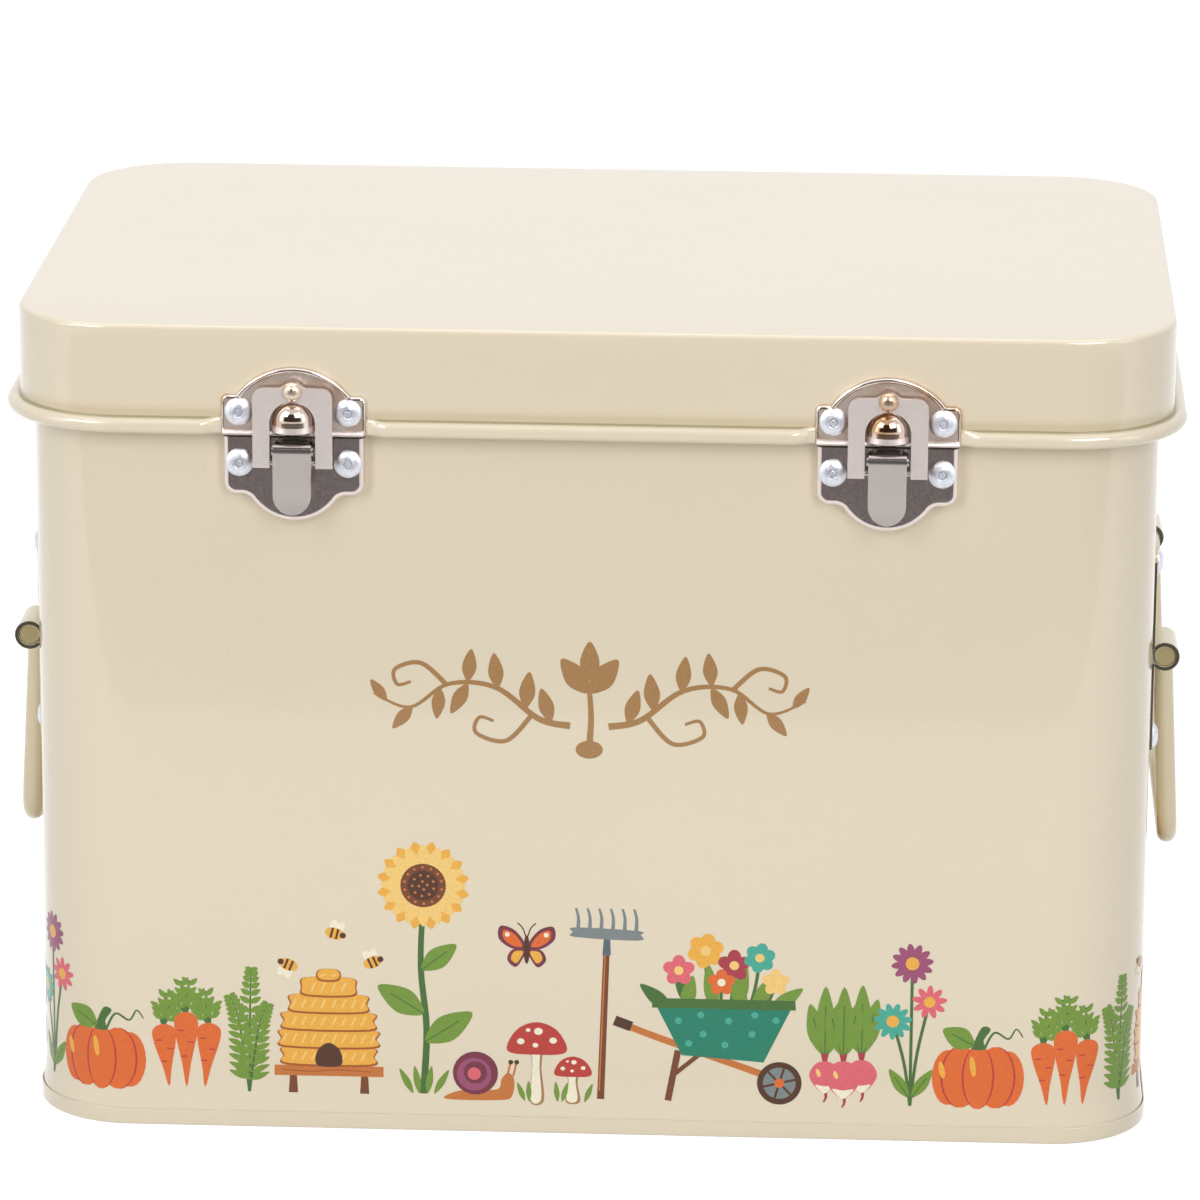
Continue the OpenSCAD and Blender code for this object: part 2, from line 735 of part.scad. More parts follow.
// Lever: a channel whose flanges ride on the pivot pin and carry the loop's pin
module lever() {
    sweep_y = pivot_y - lever_face - lever_sweep_r;
    sweep_z = pivot_z - lever_bend;
    color(nickel) intersection() {
        union() {
            bar(-lever_half_w, lever_half_w) {
                translate([pivot_y - lever_face, sweep_z])
                    square([lever_t, lever_bend + lever_top - lever_roll_r]);
                translate([pivot_y - lever_face + lever_roll_r, pivot_z + lever_top - lever_roll_r])
                    intersection() {
                        difference() {
                            circle(lever_roll_r, $fn = pin_fn);
                            circle(lever_roll_r - lever_t, $fn = pin_fn);
                        }
                        translate([-lever_roll_r, 0]) square(lever_roll_r);
                    }
                intersection() {
                    translate([sweep_y, sweep_z]) difference() {
                        circle(lever_sweep_r + lever_t, $fn = 360);
                        circle(lever_sweep_r, $fn = 360);
                    }
                    translate([pivot_y - lever_face - lever_room, pivot_z - lever_len])
                        square([lever_room + lever_t, lever_len - lever_bend]);
                }
            }
            for (side = [-1, 1]) translate([side * (lever_half_w - lever_flange_t / 2), 0, 0])
                lever_flange();
        }
        slab(pivot_y - lever_face - lever_room, base_face_y) {
            translate([-lever_half_w, pivot_z + lever_half_w - lever_len])
                square([2 * lever_half_w, lever_len + lever_top - lever_half_w]);
            translate([0, pivot_z + lever_half_w - lever_len]) circle(lever_half_w);
        }
    }
}

module lever_flange() {
    boss = 0.8;
    face_y = pivot_y - lever_face + lever_t / 2;
    difference() {
        bar(-lever_flange_t / 2, lever_flange_t / 2) {
            polygon([
                [face_y, pivot_z + lever_top - lever_roll_r],
                [face_y + lever_t, pivot_z + lever_top - lever_t],
                [pivot_y, pivot_z],
                [loop_pin_y, loop_pin_z],
                [face_y, pivot_z - lever_bend]
            ]);
            translate([pivot_y, pivot_z]) circle(pivot_pin_r + boss, $fn = pin_fn);
            translate([loop_pin_y, loop_pin_z]) circle(loop_pin_r + boss, $fn = pin_fn);
            polygon([
                [pivot_y, pivot_z],
                [pivot_y + pivot_pin_r + boss, pivot_z],
                [loop_pin_y + loop_pin_r + boss, loop_pin_z],
                [loop_pin_y, loop_pin_z]
            ]);
        }
        translate([0, pivot_y, pivot_z]) pin_x(pivot_pin_r, -2, 2);
        translate([0, loop_pin_y, loop_pin_z]) pin_x(loop_pin_r + pin_play, -2, 2);
    }
}

module headed_pin(r, half_l) {
    pin_x(r, -half_l, half_l);
    for (side = [-1, 1]) translate([side * (half_l + pin_head_t / 2), 0, 0])
        pin_x(r + pin_head_extra, -pin_head_t / 2, pin_head_t / 2);
}

module lever_pin() {
    color(steel) translate([0, pivot_y, pivot_z]) headed_pin(pivot_pin_r, lever_half_w);
}

// Loop: the pressed plate that hooks over the hood
module loop() {
    color(nickel) difference() {
        union() {
            slab(loop_back_y - loop_t, loop_back_y) difference() {
                union() {
                    translate([-loop_half_w, loop_pin_z - loop_ear_r])
                        square([2 * loop_half_w, loop_top - loop_corner_r - loop_pin_z + loop_ear_r]);
                    translate([loop_corner_r - loop_half_w, loop_pin_z - loop_ear_r])
                        square([2 * (loop_half_w - loop_corner_r), loop_top - loop_pin_z + loop_ear_r]);
                    for (x = [-1, 1])
                        translate([x * (loop_half_w - loop_corner_r), loop_top - loop_corner_r])
                            circle(loop_corner_r);
                    translate([0, nib_z]) circle(nib_r);
                    on_both_sides() difference() {
                        polygon([
                            [0, loop_top - nib_r],
                            [0, nib_z],
                            [nib_fillet_x, nib_fillet_z],
                            [nib_fillet_x, loop_top - nib_r]
                        ]);
                        translate([nib_fillet_x, nib_fillet_z]) circle(nib_fillet_r);
                    }
                }
                translate([-loop_gap_half_w, loop_pin_z - loop_ear_r - 1])
                    square([2 * loop_gap_half_w, loop_crown_z - loop_gap_half_w - loop_pin_z + loop_ear_r + 1]);
                translate([0, loop_crown_z - loop_gap_half_w]) circle(loop_gap_half_w);
            }
            // The stiffening dimple in the loop's bridge
            intersection() {
                translate([0, loop_back_y - loop_t / 2, dimple_z]) sphere(dimple_r);
                slab(loop_back_y - loop_t - 2, loop_back_y)
                    translate([-4, loop_crown_z]) square([8, 6]);
            }
            for (side = [-1, 1])
                translate([side * (loop_gap_half_w + loop_ear_t / 2), 0, 0])
                    bar(-loop_ear_t / 2, loop_ear_t / 2)
                        translate([loop_pin_y, loop_pin_z]) circle(loop_ear_r, $fn = pin_fn);
        }
        translate([0, loop_pin_y, loop_pin_z]) pin_x(loop_pin_r, -loop_half_w, loop_half_w);
    }
}

module loop_pin() {
    color(steel) translate([0, loop_pin_y, loop_pin_z])
        pin_x(loop_pin_r, -loop_gap_half_w - loop_ear_t, loop_gap_half_w + loop_ear_t);
}

module latch_base_rivets() {
    color(aluminium) at_latches() translate([0, base_face_y, 0])
        at_base_rivets() rivet(tub_front_y - base_face_y + sheet_t);
}

module latch_catch_rivets() {
    color(aluminium) at_latches() translate([0, catch_face_y, 0])
        at_catch_rivets() rivet(-lid_d / 2 - catch_face_y + sheet_t, lid_tail_h);
}

// Strap: a flat bracket with a saddle rolled round the end of the handle's wire.
// It is drawn facing the front, with its pivot along X.
module strap() {
    color(cream) intersection() {
        difference() {
            bar(-strap_w / 2, strap_w / 2) difference() {
                union() {
                    translate([-strap_t, -strap_half_h]) square([strap_t, 2 * strap_half_h]);
                    intersection() {
                        translate([-wire_out, 0]) circle(strap_ring_r);
                        translate([-wire_out - strap_ring_r, -strap_ring_r])
                            square([wire_out + strap_ring_r, 2 * strap_ring_r]);
                    }
                }
                translate([-wire_out, 0]) circle(strap_bore_r);
                translate([-wire_out / 2, -strap_mouth_h / 2]) square([wire_out, strap_mouth_h]);
            }
            at_strap_rivets() rivet_hole();
        }
        slab(-wire_out - strap_ring_r - 1, 1) rounded_rect(strap_w, 2 * strap_half_h, strap_corner_r);
    }
}

module strap_rivets() {
    color(aluminium) for (s = sides, e = ends)
        at_strap(s, e) at_strap_rivets() translate([0, -strap_t, 0]) rivet(strap_t + sheet_t);
}

// Handle: one bent wire with its two ends turned outwards. It is drawn in the plane x = 0.
module handle() {
    bar_z = -handle_drop;
    color(cream) for (e = [-1, 1]) mirror([0, e < 0 ? 1 : 0, 0]) {
        translate([0, leg_y + leg_bend_r, 0]) rotate([-90, 0, 0])
            cylinder(r = wire_r, h = handle_half_l - wire_end_in - leg_y - leg_bend_r);
        translate([0, leg_y + leg_bend_r, -leg_bend_r]) rotate([90, 0, 90])
            rotate([0, 0, 90]) rotate_extrude(angle = 90) translate([leg_bend_r, 0]) circle(wire_r);
        translate([0, leg_y, bar_z + bar_bend_r])
            cylinder(r = wire_r, h = handle_drop - leg_bend_r - bar_bend_r);
        translate([0, leg_y - bar_bend_r, bar_z + bar_bend_r]) rotate([90, 0, 90])
            rotate([0, 0, -90]) rotate_extrude(angle = 90) translate([bar_bend_r, 0]) circle(wire_r);
        translate([0, 0, bar_z]) rotate([-90, 0, 0]) cylinder(r = wire_r, h = leg_y - bar_bend_r);
    }
}

// Hinge leaves and pin, drawn at the middle of the box
module knuckles(x_from, x_to) {
    bar(x_from, x_to) translate([hinge_y, hinge_z]) circle(knuckle_r, $fn = pin_fn);
}

module leaf_outline(z_from, z_to) {
    translate([0, (z_from + z_to) / 2]) rounded_rect(hinge_w, z_to - z_from, leaf_corner_r);
}

module hinge_tub_leaf() {
    foot_z = lip_z - leaf_down;
    arm_z = hinge_z - leaf_arm_drop;
    mid = hinge_mid_w / 2 + knuckle_gap;
    color(nickel) difference() {
        union() {
            slab(tub_d / 2, tub_d / 2 + leaf_t) leaf_outline(foot_z, arm_z);
            for (span = [[-hinge_w / 2, -mid], [mid, hinge_w / 2]]) {
                knuckles(span[0], span[1]);
                bar(span[0], span[1]) polygon([
                    [tub_d / 2, arm_z - leaf_corner_r],
                    [tub_d / 2 + leaf_t, arm_z - leaf_corner_r],
                    [hinge_y + leaf_t, hinge_z - knuckle_r + leaf_t / 4],
                    [hinge_y, hinge_z - hinge_pin_r - pin_play],
                    [tub_d / 2, arm_z - leaf_corner_r + 2 * leaf_t]
                ]);
            }
        }
        translate([0, hinge_y, hinge_z]) pin_x(hinge_pin_r, -hinge_w, hinge_w);
        translate([0, tub_d / 2, 0]) at_tub_leaf_rivets() rivet_hole();
    }
}

module hinge_lid_leaf() {
    mid = hinge_mid_w / 2;
    color(nickel) difference() {
        union() {
            slab(lid_leaf_y, lid_leaf_y + leaf_t) leaf_outline(lip_z + 0.2, lip_z + leaf_up);
            knuckles(-mid, mid);
            bar(-mid, mid) translate([lid_leaf_y, hinge_z])
                square([leaf_t, lip_z + leaf_corner_r - hinge_z]);
        }
        translate([0, hinge_y, hinge_z]) pin_x(hinge_pin_r + pin_play, -hinge_w, hinge_w);
        translate([0, lid_d / 2, 0]) at_lid_leaf_rivets() rivet_hole();
    }
}

module hinge_pin() {
    color(steel) translate([0, hinge_y, hinge_z]) headed_pin(hinge_pin_r, hinge_w / 2);
}

module hinge_tub_rivets() {
    color(aluminium) at_hinges() translate([0, tub_d / 2 + leaf_t, 0])
        at_tub_leaf_rivets() rotate(180) rivet(leaf_t + sheet_t);
}

module hinge_lid_rivets() {
    color(aluminium) at_hinges() translate([0, lid_leaf_y + leaf_t, 0])
        at_lid_leaf_rivets() rotate(180) rivet(leaf_t + pinch_t + sheet_t, lid_tail_h);
}

// Partition: one folded sheet with a foot against each end wall
module partition() {
    color(cream) difference() {
        translate([0, 0, base_top]) linear_extrude(card_h) {
            square([2 * bay_half_w, sheet_t], center = true);
            for (s = [-1, 1])
                translate([s * (bay_half_w - sheet_t / 2), s * (foot_l / 2 - sheet_t / 2)])
                    square([sheet_t, foot_l], center = true);
        }
        translate([0, 0, base_top + card_h + scoop_r - scoop_h])
            rotate([90, 0, 0]) cylinder(r = scoop_r, h = 10, center = true);
    }
}

// Divider card with its tab, standing across one bay
module card(end, id) {
    corner = 4;
    color(card_blue)
        translate([(id - 2) * card_pitch, sign_of(end) * bay_y, base_top])
            bar(-card_t / 2, card_t / 2) {
                translate([0, card_h / 2]) rounded_rect(bay_d, card_h, corner);
                translate([(id - 2) * (tab_w + 2), card_h - corner])
                    translate([0, (tab_h + corner) / 2]) rounded_rect(tab_w, tab_h + corner, corner / 2);
            }
}

placed() {
    tub_wall();
    base_pan();
    partition();
    lid_shell();
    latch_base_rivets();
    latch_catch_rivets();
    strap_rivets();
    hinge_tub_rivets();
    hinge_lid_rivets();
    for (s = sides) {
        translate([sign_of(s) * latch_x, 0, seam_z]) {
            latch_base();
            latch_catch();
            lever();
            lever_pin();
            loop();
            loop_pin();
        }
        translate([sign_of(s) * wire_x, 0, handle_z]) rotate([0, -sign_of(s) * handle_rest, 0])
            handle();
        for (e = ends)
            at_strap(s, e) strap();
        translate([sign_of(s) * hinge_x, 0, 0]) {
            hinge_tub_leaf();
            hinge_lid_leaf();
            hinge_pin();
        }
    }
    for (e = ends, i = card_ids)
        card(e, i);
}
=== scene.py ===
# %% [markdown]
# # A garden seed organizer box
# This lesson dresses a tin box for seed packets: cream enamel on tinplate, a printed garden border, nickel
# latches, bright pop rivets and a drop handle on each end. The box's construction comes in as a fixed frame
# of named pieces, in metres, and stays where it is. We give it finishes, and build finer meshes where the
# eye looks for them.

# %% Load the fixed frame
import json
import math

import bmesh
import bpy
from mathutils import Matrix, Vector
from mathutils.geometry import delaunay_2d_cdt

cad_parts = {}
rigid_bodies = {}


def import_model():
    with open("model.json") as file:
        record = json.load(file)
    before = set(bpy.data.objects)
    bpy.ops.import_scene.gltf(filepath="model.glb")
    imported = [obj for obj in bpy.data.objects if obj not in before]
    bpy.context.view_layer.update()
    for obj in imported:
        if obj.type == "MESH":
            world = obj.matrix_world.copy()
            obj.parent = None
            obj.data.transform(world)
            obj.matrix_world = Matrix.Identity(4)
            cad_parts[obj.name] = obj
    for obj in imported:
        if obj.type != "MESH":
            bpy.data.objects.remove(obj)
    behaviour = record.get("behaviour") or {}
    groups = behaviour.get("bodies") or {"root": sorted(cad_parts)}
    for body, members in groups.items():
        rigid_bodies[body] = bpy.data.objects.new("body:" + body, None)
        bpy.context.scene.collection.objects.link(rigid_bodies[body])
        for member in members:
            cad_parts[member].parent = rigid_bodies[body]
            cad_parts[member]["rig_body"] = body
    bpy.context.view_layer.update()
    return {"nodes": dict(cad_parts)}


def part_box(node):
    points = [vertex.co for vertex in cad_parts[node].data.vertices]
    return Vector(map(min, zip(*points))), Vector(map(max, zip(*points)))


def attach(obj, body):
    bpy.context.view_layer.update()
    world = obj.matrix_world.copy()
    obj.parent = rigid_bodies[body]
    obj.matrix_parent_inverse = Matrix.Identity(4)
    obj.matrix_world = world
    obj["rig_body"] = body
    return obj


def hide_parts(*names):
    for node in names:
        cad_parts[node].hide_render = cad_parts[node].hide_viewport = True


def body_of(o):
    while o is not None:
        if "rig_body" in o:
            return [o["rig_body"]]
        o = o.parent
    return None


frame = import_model()
NODES = frame["nodes"]
MM = 0.001
SHIFT_Y = 1.096
SIDES = {"left": -1, "right": 1}
ENDS = ("front", "rear")
CORNERS = ((-1, -1), (1, -1), (1, 1), (-1, 1))
print("the frame has", len(NODES), "pieces, and its middle lies", SHIFT_Y, "mm behind the origin")


def new_object(name, data):
    made = bpy.data.objects.new(name, data)
    bpy.context.scene.collection.objects.link(made)
    return made


# %% [markdown]
# ## Where the camera stands
# The photograph looks slightly down on the front, with almost no perspective, so it was taken with a long
# lens from about a metre and a half away. A camera could be placed by eye. Here its place, tilt and lens
# were worked out from the box's edges in the 1200 pixel picture, and they are written as real sizes.

# %% Camera
IMAGE = 1200
CAMERA_AT = Vector((69.1, -1543.3, 546.0)) * MM
CAMERA_YAW = 0.0447
CAMERA_PITCH = 0.2816
CAMERA_ROLL = 0.0067
FOCAL_PIXELS = 6526.4
CENTRE_X = 606.6
CENTRE_Y = 632.8
SENSOR = 36.0


def make_camera():
    """A camera that looks along +Y, turned left by the yaw, down by the pitch and round by the roll."""
    data = bpy.data.cameras.new("camera")
    data.sensor_width = SENSOR
    data.lens = FOCAL_PIXELS / IMAGE * SENSOR
    data.shift_x = (IMAGE / 2 - CENTRE_X) / IMAGE
    data.shift_y = (CENTRE_Y - IMAGE / 2) / IMAGE
    data.clip_end = 50
    camera = new_object("camera", data)
    turn = Matrix.Rotation(CAMERA_YAW, 3, "Z") @ Matrix.Rotation(math.pi / 2 - CAMERA_PITCH, 3, "X")
    turn = turn @ Matrix.Rotation(CAMERA_ROLL, 3, "Z")
    camera.matrix_world = Matrix.Translation(CAMERA_AT) @ turn.to_4x4()
    return camera


bpy.context.scene.camera = make_camera()
bpy.context.scene.view_settings.view_transform = "Standard"
print("the lens is", round(bpy.context.scene.camera.data.lens), "mm")

# %% [markdown]
# ## Building node trees without clutter
# Shaders and Geometry Nodes are both trees of nodes. A few small helpers keep them readable: one adds a
# node and fills its sockets by name, one does arithmetic, one makes a noise pattern, and one starts a group
# with named inputs and outputs. In a socket's name, an underscore stands for a space.


# %% Node helpers
FLOAT = "NodeSocketFloat"
WHOLE = "NodeSocketInt"
COLOUR = "NodeSocketColor"
VECTOR = "NodeSocketVector"
GEOMETRY = "NodeSocketGeometry"
MATERIAL = "NodeSocketMaterial"
OBJECT = "NodeSocketObject"


def add(tree, kind, props=None, **sockets):
    """Adds a node. A socket takes a number, a colour, or another node's output."""
    made = tree.nodes.new(kind)
    for key, value in (props or {}).items():
        setattr(made, key, value)
    for label, value in sockets.items():
        fill(tree, made.inputs[label.replace("_", " ")], value)
    return made


def fill(tree, socket, value):
    if isinstance(value, bpy.types.NodeSocket):
        tree.links.new(value, socket)
    else:
        socket.default_value = value


def in_order(tree, made, values):
    """Fills sockets that share a name, in order, and returns the node's first output."""
    for socket, value in zip(made.inputs, values):
        fill(tree, socket, value)
    return made.outputs[0]


def calc(tree, operation, *values, clamp=False):
    """One Math node."""
    return in_order(tree, add(tree, "ShaderNodeMath", {"operation": operation, "use_clamp": clamp}), values)


def noise(tree, place, scale, detail, **more):
    return add(tree, "ShaderNodeTexNoise", Vector=place, Scale=scale, Detail=detail, **more).outputs["Fac"]


def scale_for(tree, size):
    """The scale of a noise whose pattern has this size in millimetres."""
    return calc(tree, "DIVIDE", 1 / MM, size)


def vary(tree, pattern, amount, base):
    """A value that swings round the base with a noise pattern, whose own middle is 0.5."""
    return calc(tree, "MULTIPLY_ADD", calc(tree, "SUBTRACT", pattern, 0.5), amount, base)


def floats(**defaults):
    """Number inputs for a group, each with its default value."""
    return [(label.replace("_", " "), FLOAT, value) for label, value in defaults.items()]


def new_group(name, kind, inputs, outputs):
    """A node group with its input and output nodes. Each input is (name, type, default)."""
    tree = bpy.data.node_groups.new(name, kind)
    for label, socket_type, value in inputs:
        socket = tree.interface.new_socket(name=label, in_out="INPUT", socket_type=socket_type)
        if value is not None:
            socket.default_value = value
    for label, socket_type in outputs:
        tree.interface.new_socket(name=label, in_out="OUTPUT", socket_type=socket_type)
    return tree, tree.nodes.new("NodeGroupInput").outputs, tree.nodes.new("NodeGroupOutput").inputs


def linear(red, green, blue):
    """The linear colour of a colour picked as 0 to 255 on a screen."""
    parts = [c / 255 for c in (red, green, blue)]
    return tuple(c / 12.92 if c <= 0.04045 else ((c + 0.055) / 1.055) ** 2.4 for c in parts) + (1.0,)


# %% [markdown]
# ## A white studio
# The box stands on a white sweep under soft light. The floor is pale paint with a little glow that only the
# camera and mirrors see, so that it reads as white while it still keeps the box's shadow. Two tall soft
# boxes stand at the left and right in front, and a wide one hangs overhead. Metal shows little but its
# surroundings, so those are set apart from the light, as a photographer does: a grey card lies in front, a
# dark flag stands behind the camera, two bright strips stand at the sides and two small bright windows hang
# high at the left and right. Domes turn dark in the middle with bright edges, and the windows put short
# glints on the rounded corners of the enamel.


# %% Materials and makers for the studio
FLOOR_PAINT = (0.58, 0.58, 0.58, 1)
FLOOR_GLOW = 0.66
SKY_SEEN = 1.0
SKY_LIGHT = 0.48
AIM = Vector((0, 0, 0.1))


def bare_material(name):
    material = bpy.data.materials.new(name)
    material.use_nodes = True
    material.node_tree.nodes.clear()
    return material, material.node_tree


def seen_rays(tree):
    """Is 1 for rays from the camera, a mirror or glass, and 0 for rays that bring light to a surface."""
    rays = add(tree, "ShaderNodeLightPath").outputs
    seen = calc(tree, "MAXIMUM", rays["Is Camera Ray"], rays["Is Glossy Ray"])
    return calc(tree, "MAXIMUM", seen, rays["Is Transmission Ray"])


def flat_piece(name, corners, material):
    mesh = bpy.data.meshes.new(name)
    mesh.from_pydata([Vector(c) for c in corners], [], [tuple(range(len(corners)))])
    mesh.materials.append(material)
    return new_object(name, mesh)


def floor_material():
    material, tree = bare_material("studio_floor")
    paint = add(tree, "ShaderNodeBsdfDiffuse", Color=FLOOR_PAINT)
    glow = add(tree, "ShaderNodeEmission", Strength=calc(tree, "MULTIPLY", seen_rays(tree), FLOOR_GLOW))
    both = in_order(tree, add(tree, "ShaderNodeAddShader"), (paint.outputs[0], glow.outputs[0]))
    add(tree, "ShaderNodeOutputMaterial", Surface=both)
    return material


def card(name, corners, colour):
    """A glowing card that only reflections show."""
    material, tree = bare_material(name)
    glow = add(tree, "ShaderNodeEmission", Color=(*colour, 1), Strength=1.0)
    add(tree, "ShaderNodeOutputMaterial", Surface=glow.outputs[0])
    made = flat_piece(name, corners, material)
    for flag in ("visible_camera", "visible_diffuse", "visible_shadow", "visible_transmission"):
        setattr(made, flag, False)
    return made


def window(name, turn, width):
    """A bright card above the front, at an angle from the middle and facing the box."""
    around = math.radians(turn)
    up = math.radians(41)
    away = 1.5
    half_height = 0.26
    glow = 10.0
    middle = Vector((math.sin(around) * math.cos(up), -math.cos(around) * math.cos(up), math.sin(up)))
    across = Vector((math.cos(around), math.sin(around), 0)) * width / 2
    rise = middle.cross(across).normalized() * half_height
    corners = [middle * away + a * across + b * rise for a, b in CORNERS]
    return card(name, corners, (glow, glow, glow))


def soft_box(name, at, size, power, in_mirrors):
    lamp = bpy.data.lights.new(name, "AREA")
    lamp.shape = "RECTANGLE"
    lamp.size, lamp.size_y = size
    lamp.energy = power
    made = new_object(name, lamp)
    look = (AIM - Vector(at)).to_track_quat("-Z", "Y").to_matrix().to_4x4()
    made.matrix_world = Matrix.Translation(at) @ look
    made.visible_glossy = in_mirrors


# %% Floor, cards and lights
FLOOR_HALF = 6.0
floor = flat_piece(
    "studio_floor", [(x * FLOOR_HALF, y * FLOOR_HALF, 0) for x, y in CORNERS], floor_material()
)
grey_card = card(
    "studio_grey_card",
    [(-0.8, -1.5, 0.002), (0.8, -1.5, 0.002), (0.8, -0.42, 0.002), (-0.8, -0.42, 0.002)],
    (0.20, 0.18, 0.175),
)
dark_flag = card(
    "studio_dark_flag",
    [(-2.6, -2.4, 0.2), (2.6, -2.4, 0.2), (2.6, -2.2, 2.3), (-2.6, -2.2, 2.3)],
    (0.05, 0.035, 0.025),
)
STRIP_EDGES = ((2.2, -0.65, 0.1), (1.9, -1.3, 0.1), (1.9, -1.3, 1.8), (2.2, -0.65, 1.8))
strips = [
    card("studio_strip_" + side, [(sign * x, y, z) for x, y, z in STRIP_EDGES], (2.8, 2.8, 2.8))
    for side, sign in SIDES.items()
]
windows = [window("studio_window_left", -46, 0.62), window("studio_window_right", 30, 0.7)]
soft_box("soft_box_left", (-1.0, -1.8, 0.95), (0.6, 1.5), 13.6, False)
soft_box("soft_box_right", (0.8, -1.9, 0.95), (0.5, 1.5), 12.4, False)
soft_box("soft_box_top", (0, 0.35, 2.1), (2.2, 1.6), 18, True)

world = bpy.data.worlds.new("studio")
bpy.context.scene.world = world
world.use_nodes = True
sky = world.node_tree
sky.nodes.clear()
strength = calc(sky, "MULTIPLY_ADD", seen_rays(sky), SKY_SEEN - SKY_LIGHT, SKY_LIGHT)
background = add(sky, "ShaderNodeBackground", Color=(1, 1, 1, 1), Strength=strength)
add(sky, "ShaderNodeOutputWorld", Surface=background.outputs[0])
print("the studio has", 2 + len(strips) + len(windows), "cards and 3 lights")

# %% [markdown]
# ## Enamel
# The tin is coated with a thick, glossy cream paint. Close up, such paint is never a flat colour: it flows
# into a faint orange peel, its tone clouds slightly from place to place, and small specks are caught in it.
# In the crease between the lid's skirt and its bead the group can paint shade, a little darker and yellower.
# One shader group holds that effect, because the tub, the lid, the handles and the print all share it. The
# group gives only a colour, a roughness and a normal, and each material keeps its own Principled shader.


# %% Parts that the surface groups share
SURFACE = [("Colour", COLOUR), ("Roughness", FLOAT), ("Normal", VECTOR)]
NOWHERE = -90.0  # a height in millimetres that no piece reaches


def object_place(tree):
    return add(tree, "ShaderNodeTexCoord").outputs["Object"]


def height_mask(tree, place, low, high, fade_low, fade_high):
    """Is 1 between two heights in millimetres, and fades to 0 over the last ones inside them."""
    z = calc(tree, "DIVIDE", add(tree, "ShaderNodeSeparateXYZ", Vector=place).outputs["Z"], MM)
    rise = calc(tree, "DIVIDE", calc(tree, "SUBTRACT", z, low), fade_low, clamp=True)
    fall = calc(tree, "DIVIDE", calc(tree, "SUBTRACT", high, z), fade_high, clamp=True)
    return calc(tree, "MULTIPLY", rise, fall)


def end_surface(tree, result, colour, roughness, height, depth):
    """Ends a surface group. The height becomes a bump, whose depth is in millimetres."""
    depth = calc(tree, "MULTIPLY", depth, MM)
    bump = add(tree, "ShaderNodeBump", Strength=1.0, Distance=depth, Height=height).outputs["Normal"]
    for label, value in zip(("Colour", "Roughness", "Normal"), (colour, roughness, bump)):
        fill(tree, result[label], value)
    return tree


# %% The enamel group
SPECK_SIZE = 0.055
SPECK_DARK = -0.10
SPECK_HIGH = 0.6
WAVE_HIGH = 4.0
CREASE_YELLOW = 1.6


def make_enamel_group():
    inputs = [("Colour", COLOUR, (0.8, 0.7, 0.5, 1))] + floats(
        Cloud_amount=0.03,
        Peel_size=2.4,
        Peel_depth=0.02,
        Roughness=0.2,
        Crease_low=NOWHERE,
        Crease_high=NOWHERE + 10,
        Crease_shade=0.0,
    )
    tree, given, result = new_group("enamel_surface", "ShaderNodeTree", inputs, SURFACE)
    place = object_place(tree)
    # The crease mask paints shade: darker and yellower in the crease above the lid's bead.
    crease = height_mask(tree, place, given["Crease low"], given["Crease high"], fade_low=0.3, fade_high=2.2)
    crease = calc(tree, "MULTIPLY", calc(tree, "MULTIPLY", crease, crease), given["Crease shade"])
    clouds = noise(tree, place, scale=14.0, detail=2.0)
    specks = add(tree, "ShaderNodeTexVoronoi", Vector=place, Scale=260.0)
    speck = calc(tree, "LESS_THAN", specks.outputs["Distance"], SPECK_SIZE)
    shade = vary(tree, clouds, given["Cloud amount"], 1.0)
    shade = calc(tree, "MULTIPLY_ADD", speck, SPECK_DARK, shade)
    shade = calc(tree, "SUBTRACT", shade, crease)
    yellow = calc(tree, "MULTIPLY_ADD", crease, CREASE_YELLOW, 1.0)
    tone = add(tree, "ShaderNodeHueSaturation", Color=given["Colour"], Value=shade, Saturation=yellow)
    peel = noise(tree, place, scale_for(tree, given["Peel size"]), detail=1.5, Roughness=0.4)
    waves = noise(tree, place, scale=22.0, detail=1.0)
    height = calc(tree, "MULTIPLY_ADD", waves, WAVE_HIGH, peel)
    height = calc(tree, "MULTIPLY_ADD", speck, SPECK_HIGH, height)
    rough = vary(tree, clouds, 0.08, given["Roughness"])
    return end_surface(tree, result, tone.outputs["Color"], rough, height, given["Peel depth"])


enamel_group = make_enamel_group()
print("the enamel group has", len(enamel_group.nodes), "nodes")


# %% Enamel materials
def principled(name, **sockets):
    """A material with a Principled shader. The sockets' constant values are set on it by name."""
    material = bpy.data.materials.new(name)
    material.use_nodes = True
    tree = material.node_tree
    shader = tree.nodes["Principled BSDF"]
    for label, value in sockets.items():
        shader.inputs[label.replace("_", " ")].default_value = value
    return material, tree, shader


def cover(tree, shader, group, **sockets):
    """Puts a surface group in front of the shader."""
    surface = add(tree, "ShaderNodeGroup", {"node_tree": group}, **sockets).outputs
    for label, end in (("Colour", "Base Color"), ("Roughness", "Roughness"), ("Normal", "Normal")):
        tree.links.new(surface[label], shader.inputs[end])


def enamel(name, colour, **finish):
    """Paint with a clear, glossy top."""
    material, tree, shader = principled(name, Coat_Weight=0.7, Coat_Roughness=0.04, Coat_IOR=1.45)
    cover(tree, shader, enamel_group, Colour=linear(*colour), **finish)
    return material


CREAM = (229, 216, 191)
tub_paint = enamel("cream_enamel_tub", CREAM)
# The lid's paint carries painted shade in the crease above its bead.
lid_paint = enamel("cream_enamel_lid", CREAM, Crease_low=174.6, Crease_high=178.4, Crease_shade=0.13)
# A darker, duller copy of the cream, used as painted shade in the crease above the bead.
crease_shade_paint = enamel("crease_shade_enamel", (172, 163, 128), Roughness=0.5)
sheet_paint = enamel("cream_enamel_inside", CREAM, Roughness=0.34)
handle_paint = enamel("cream_enamel_handle", (226, 212, 178), Peel_size=1.2)

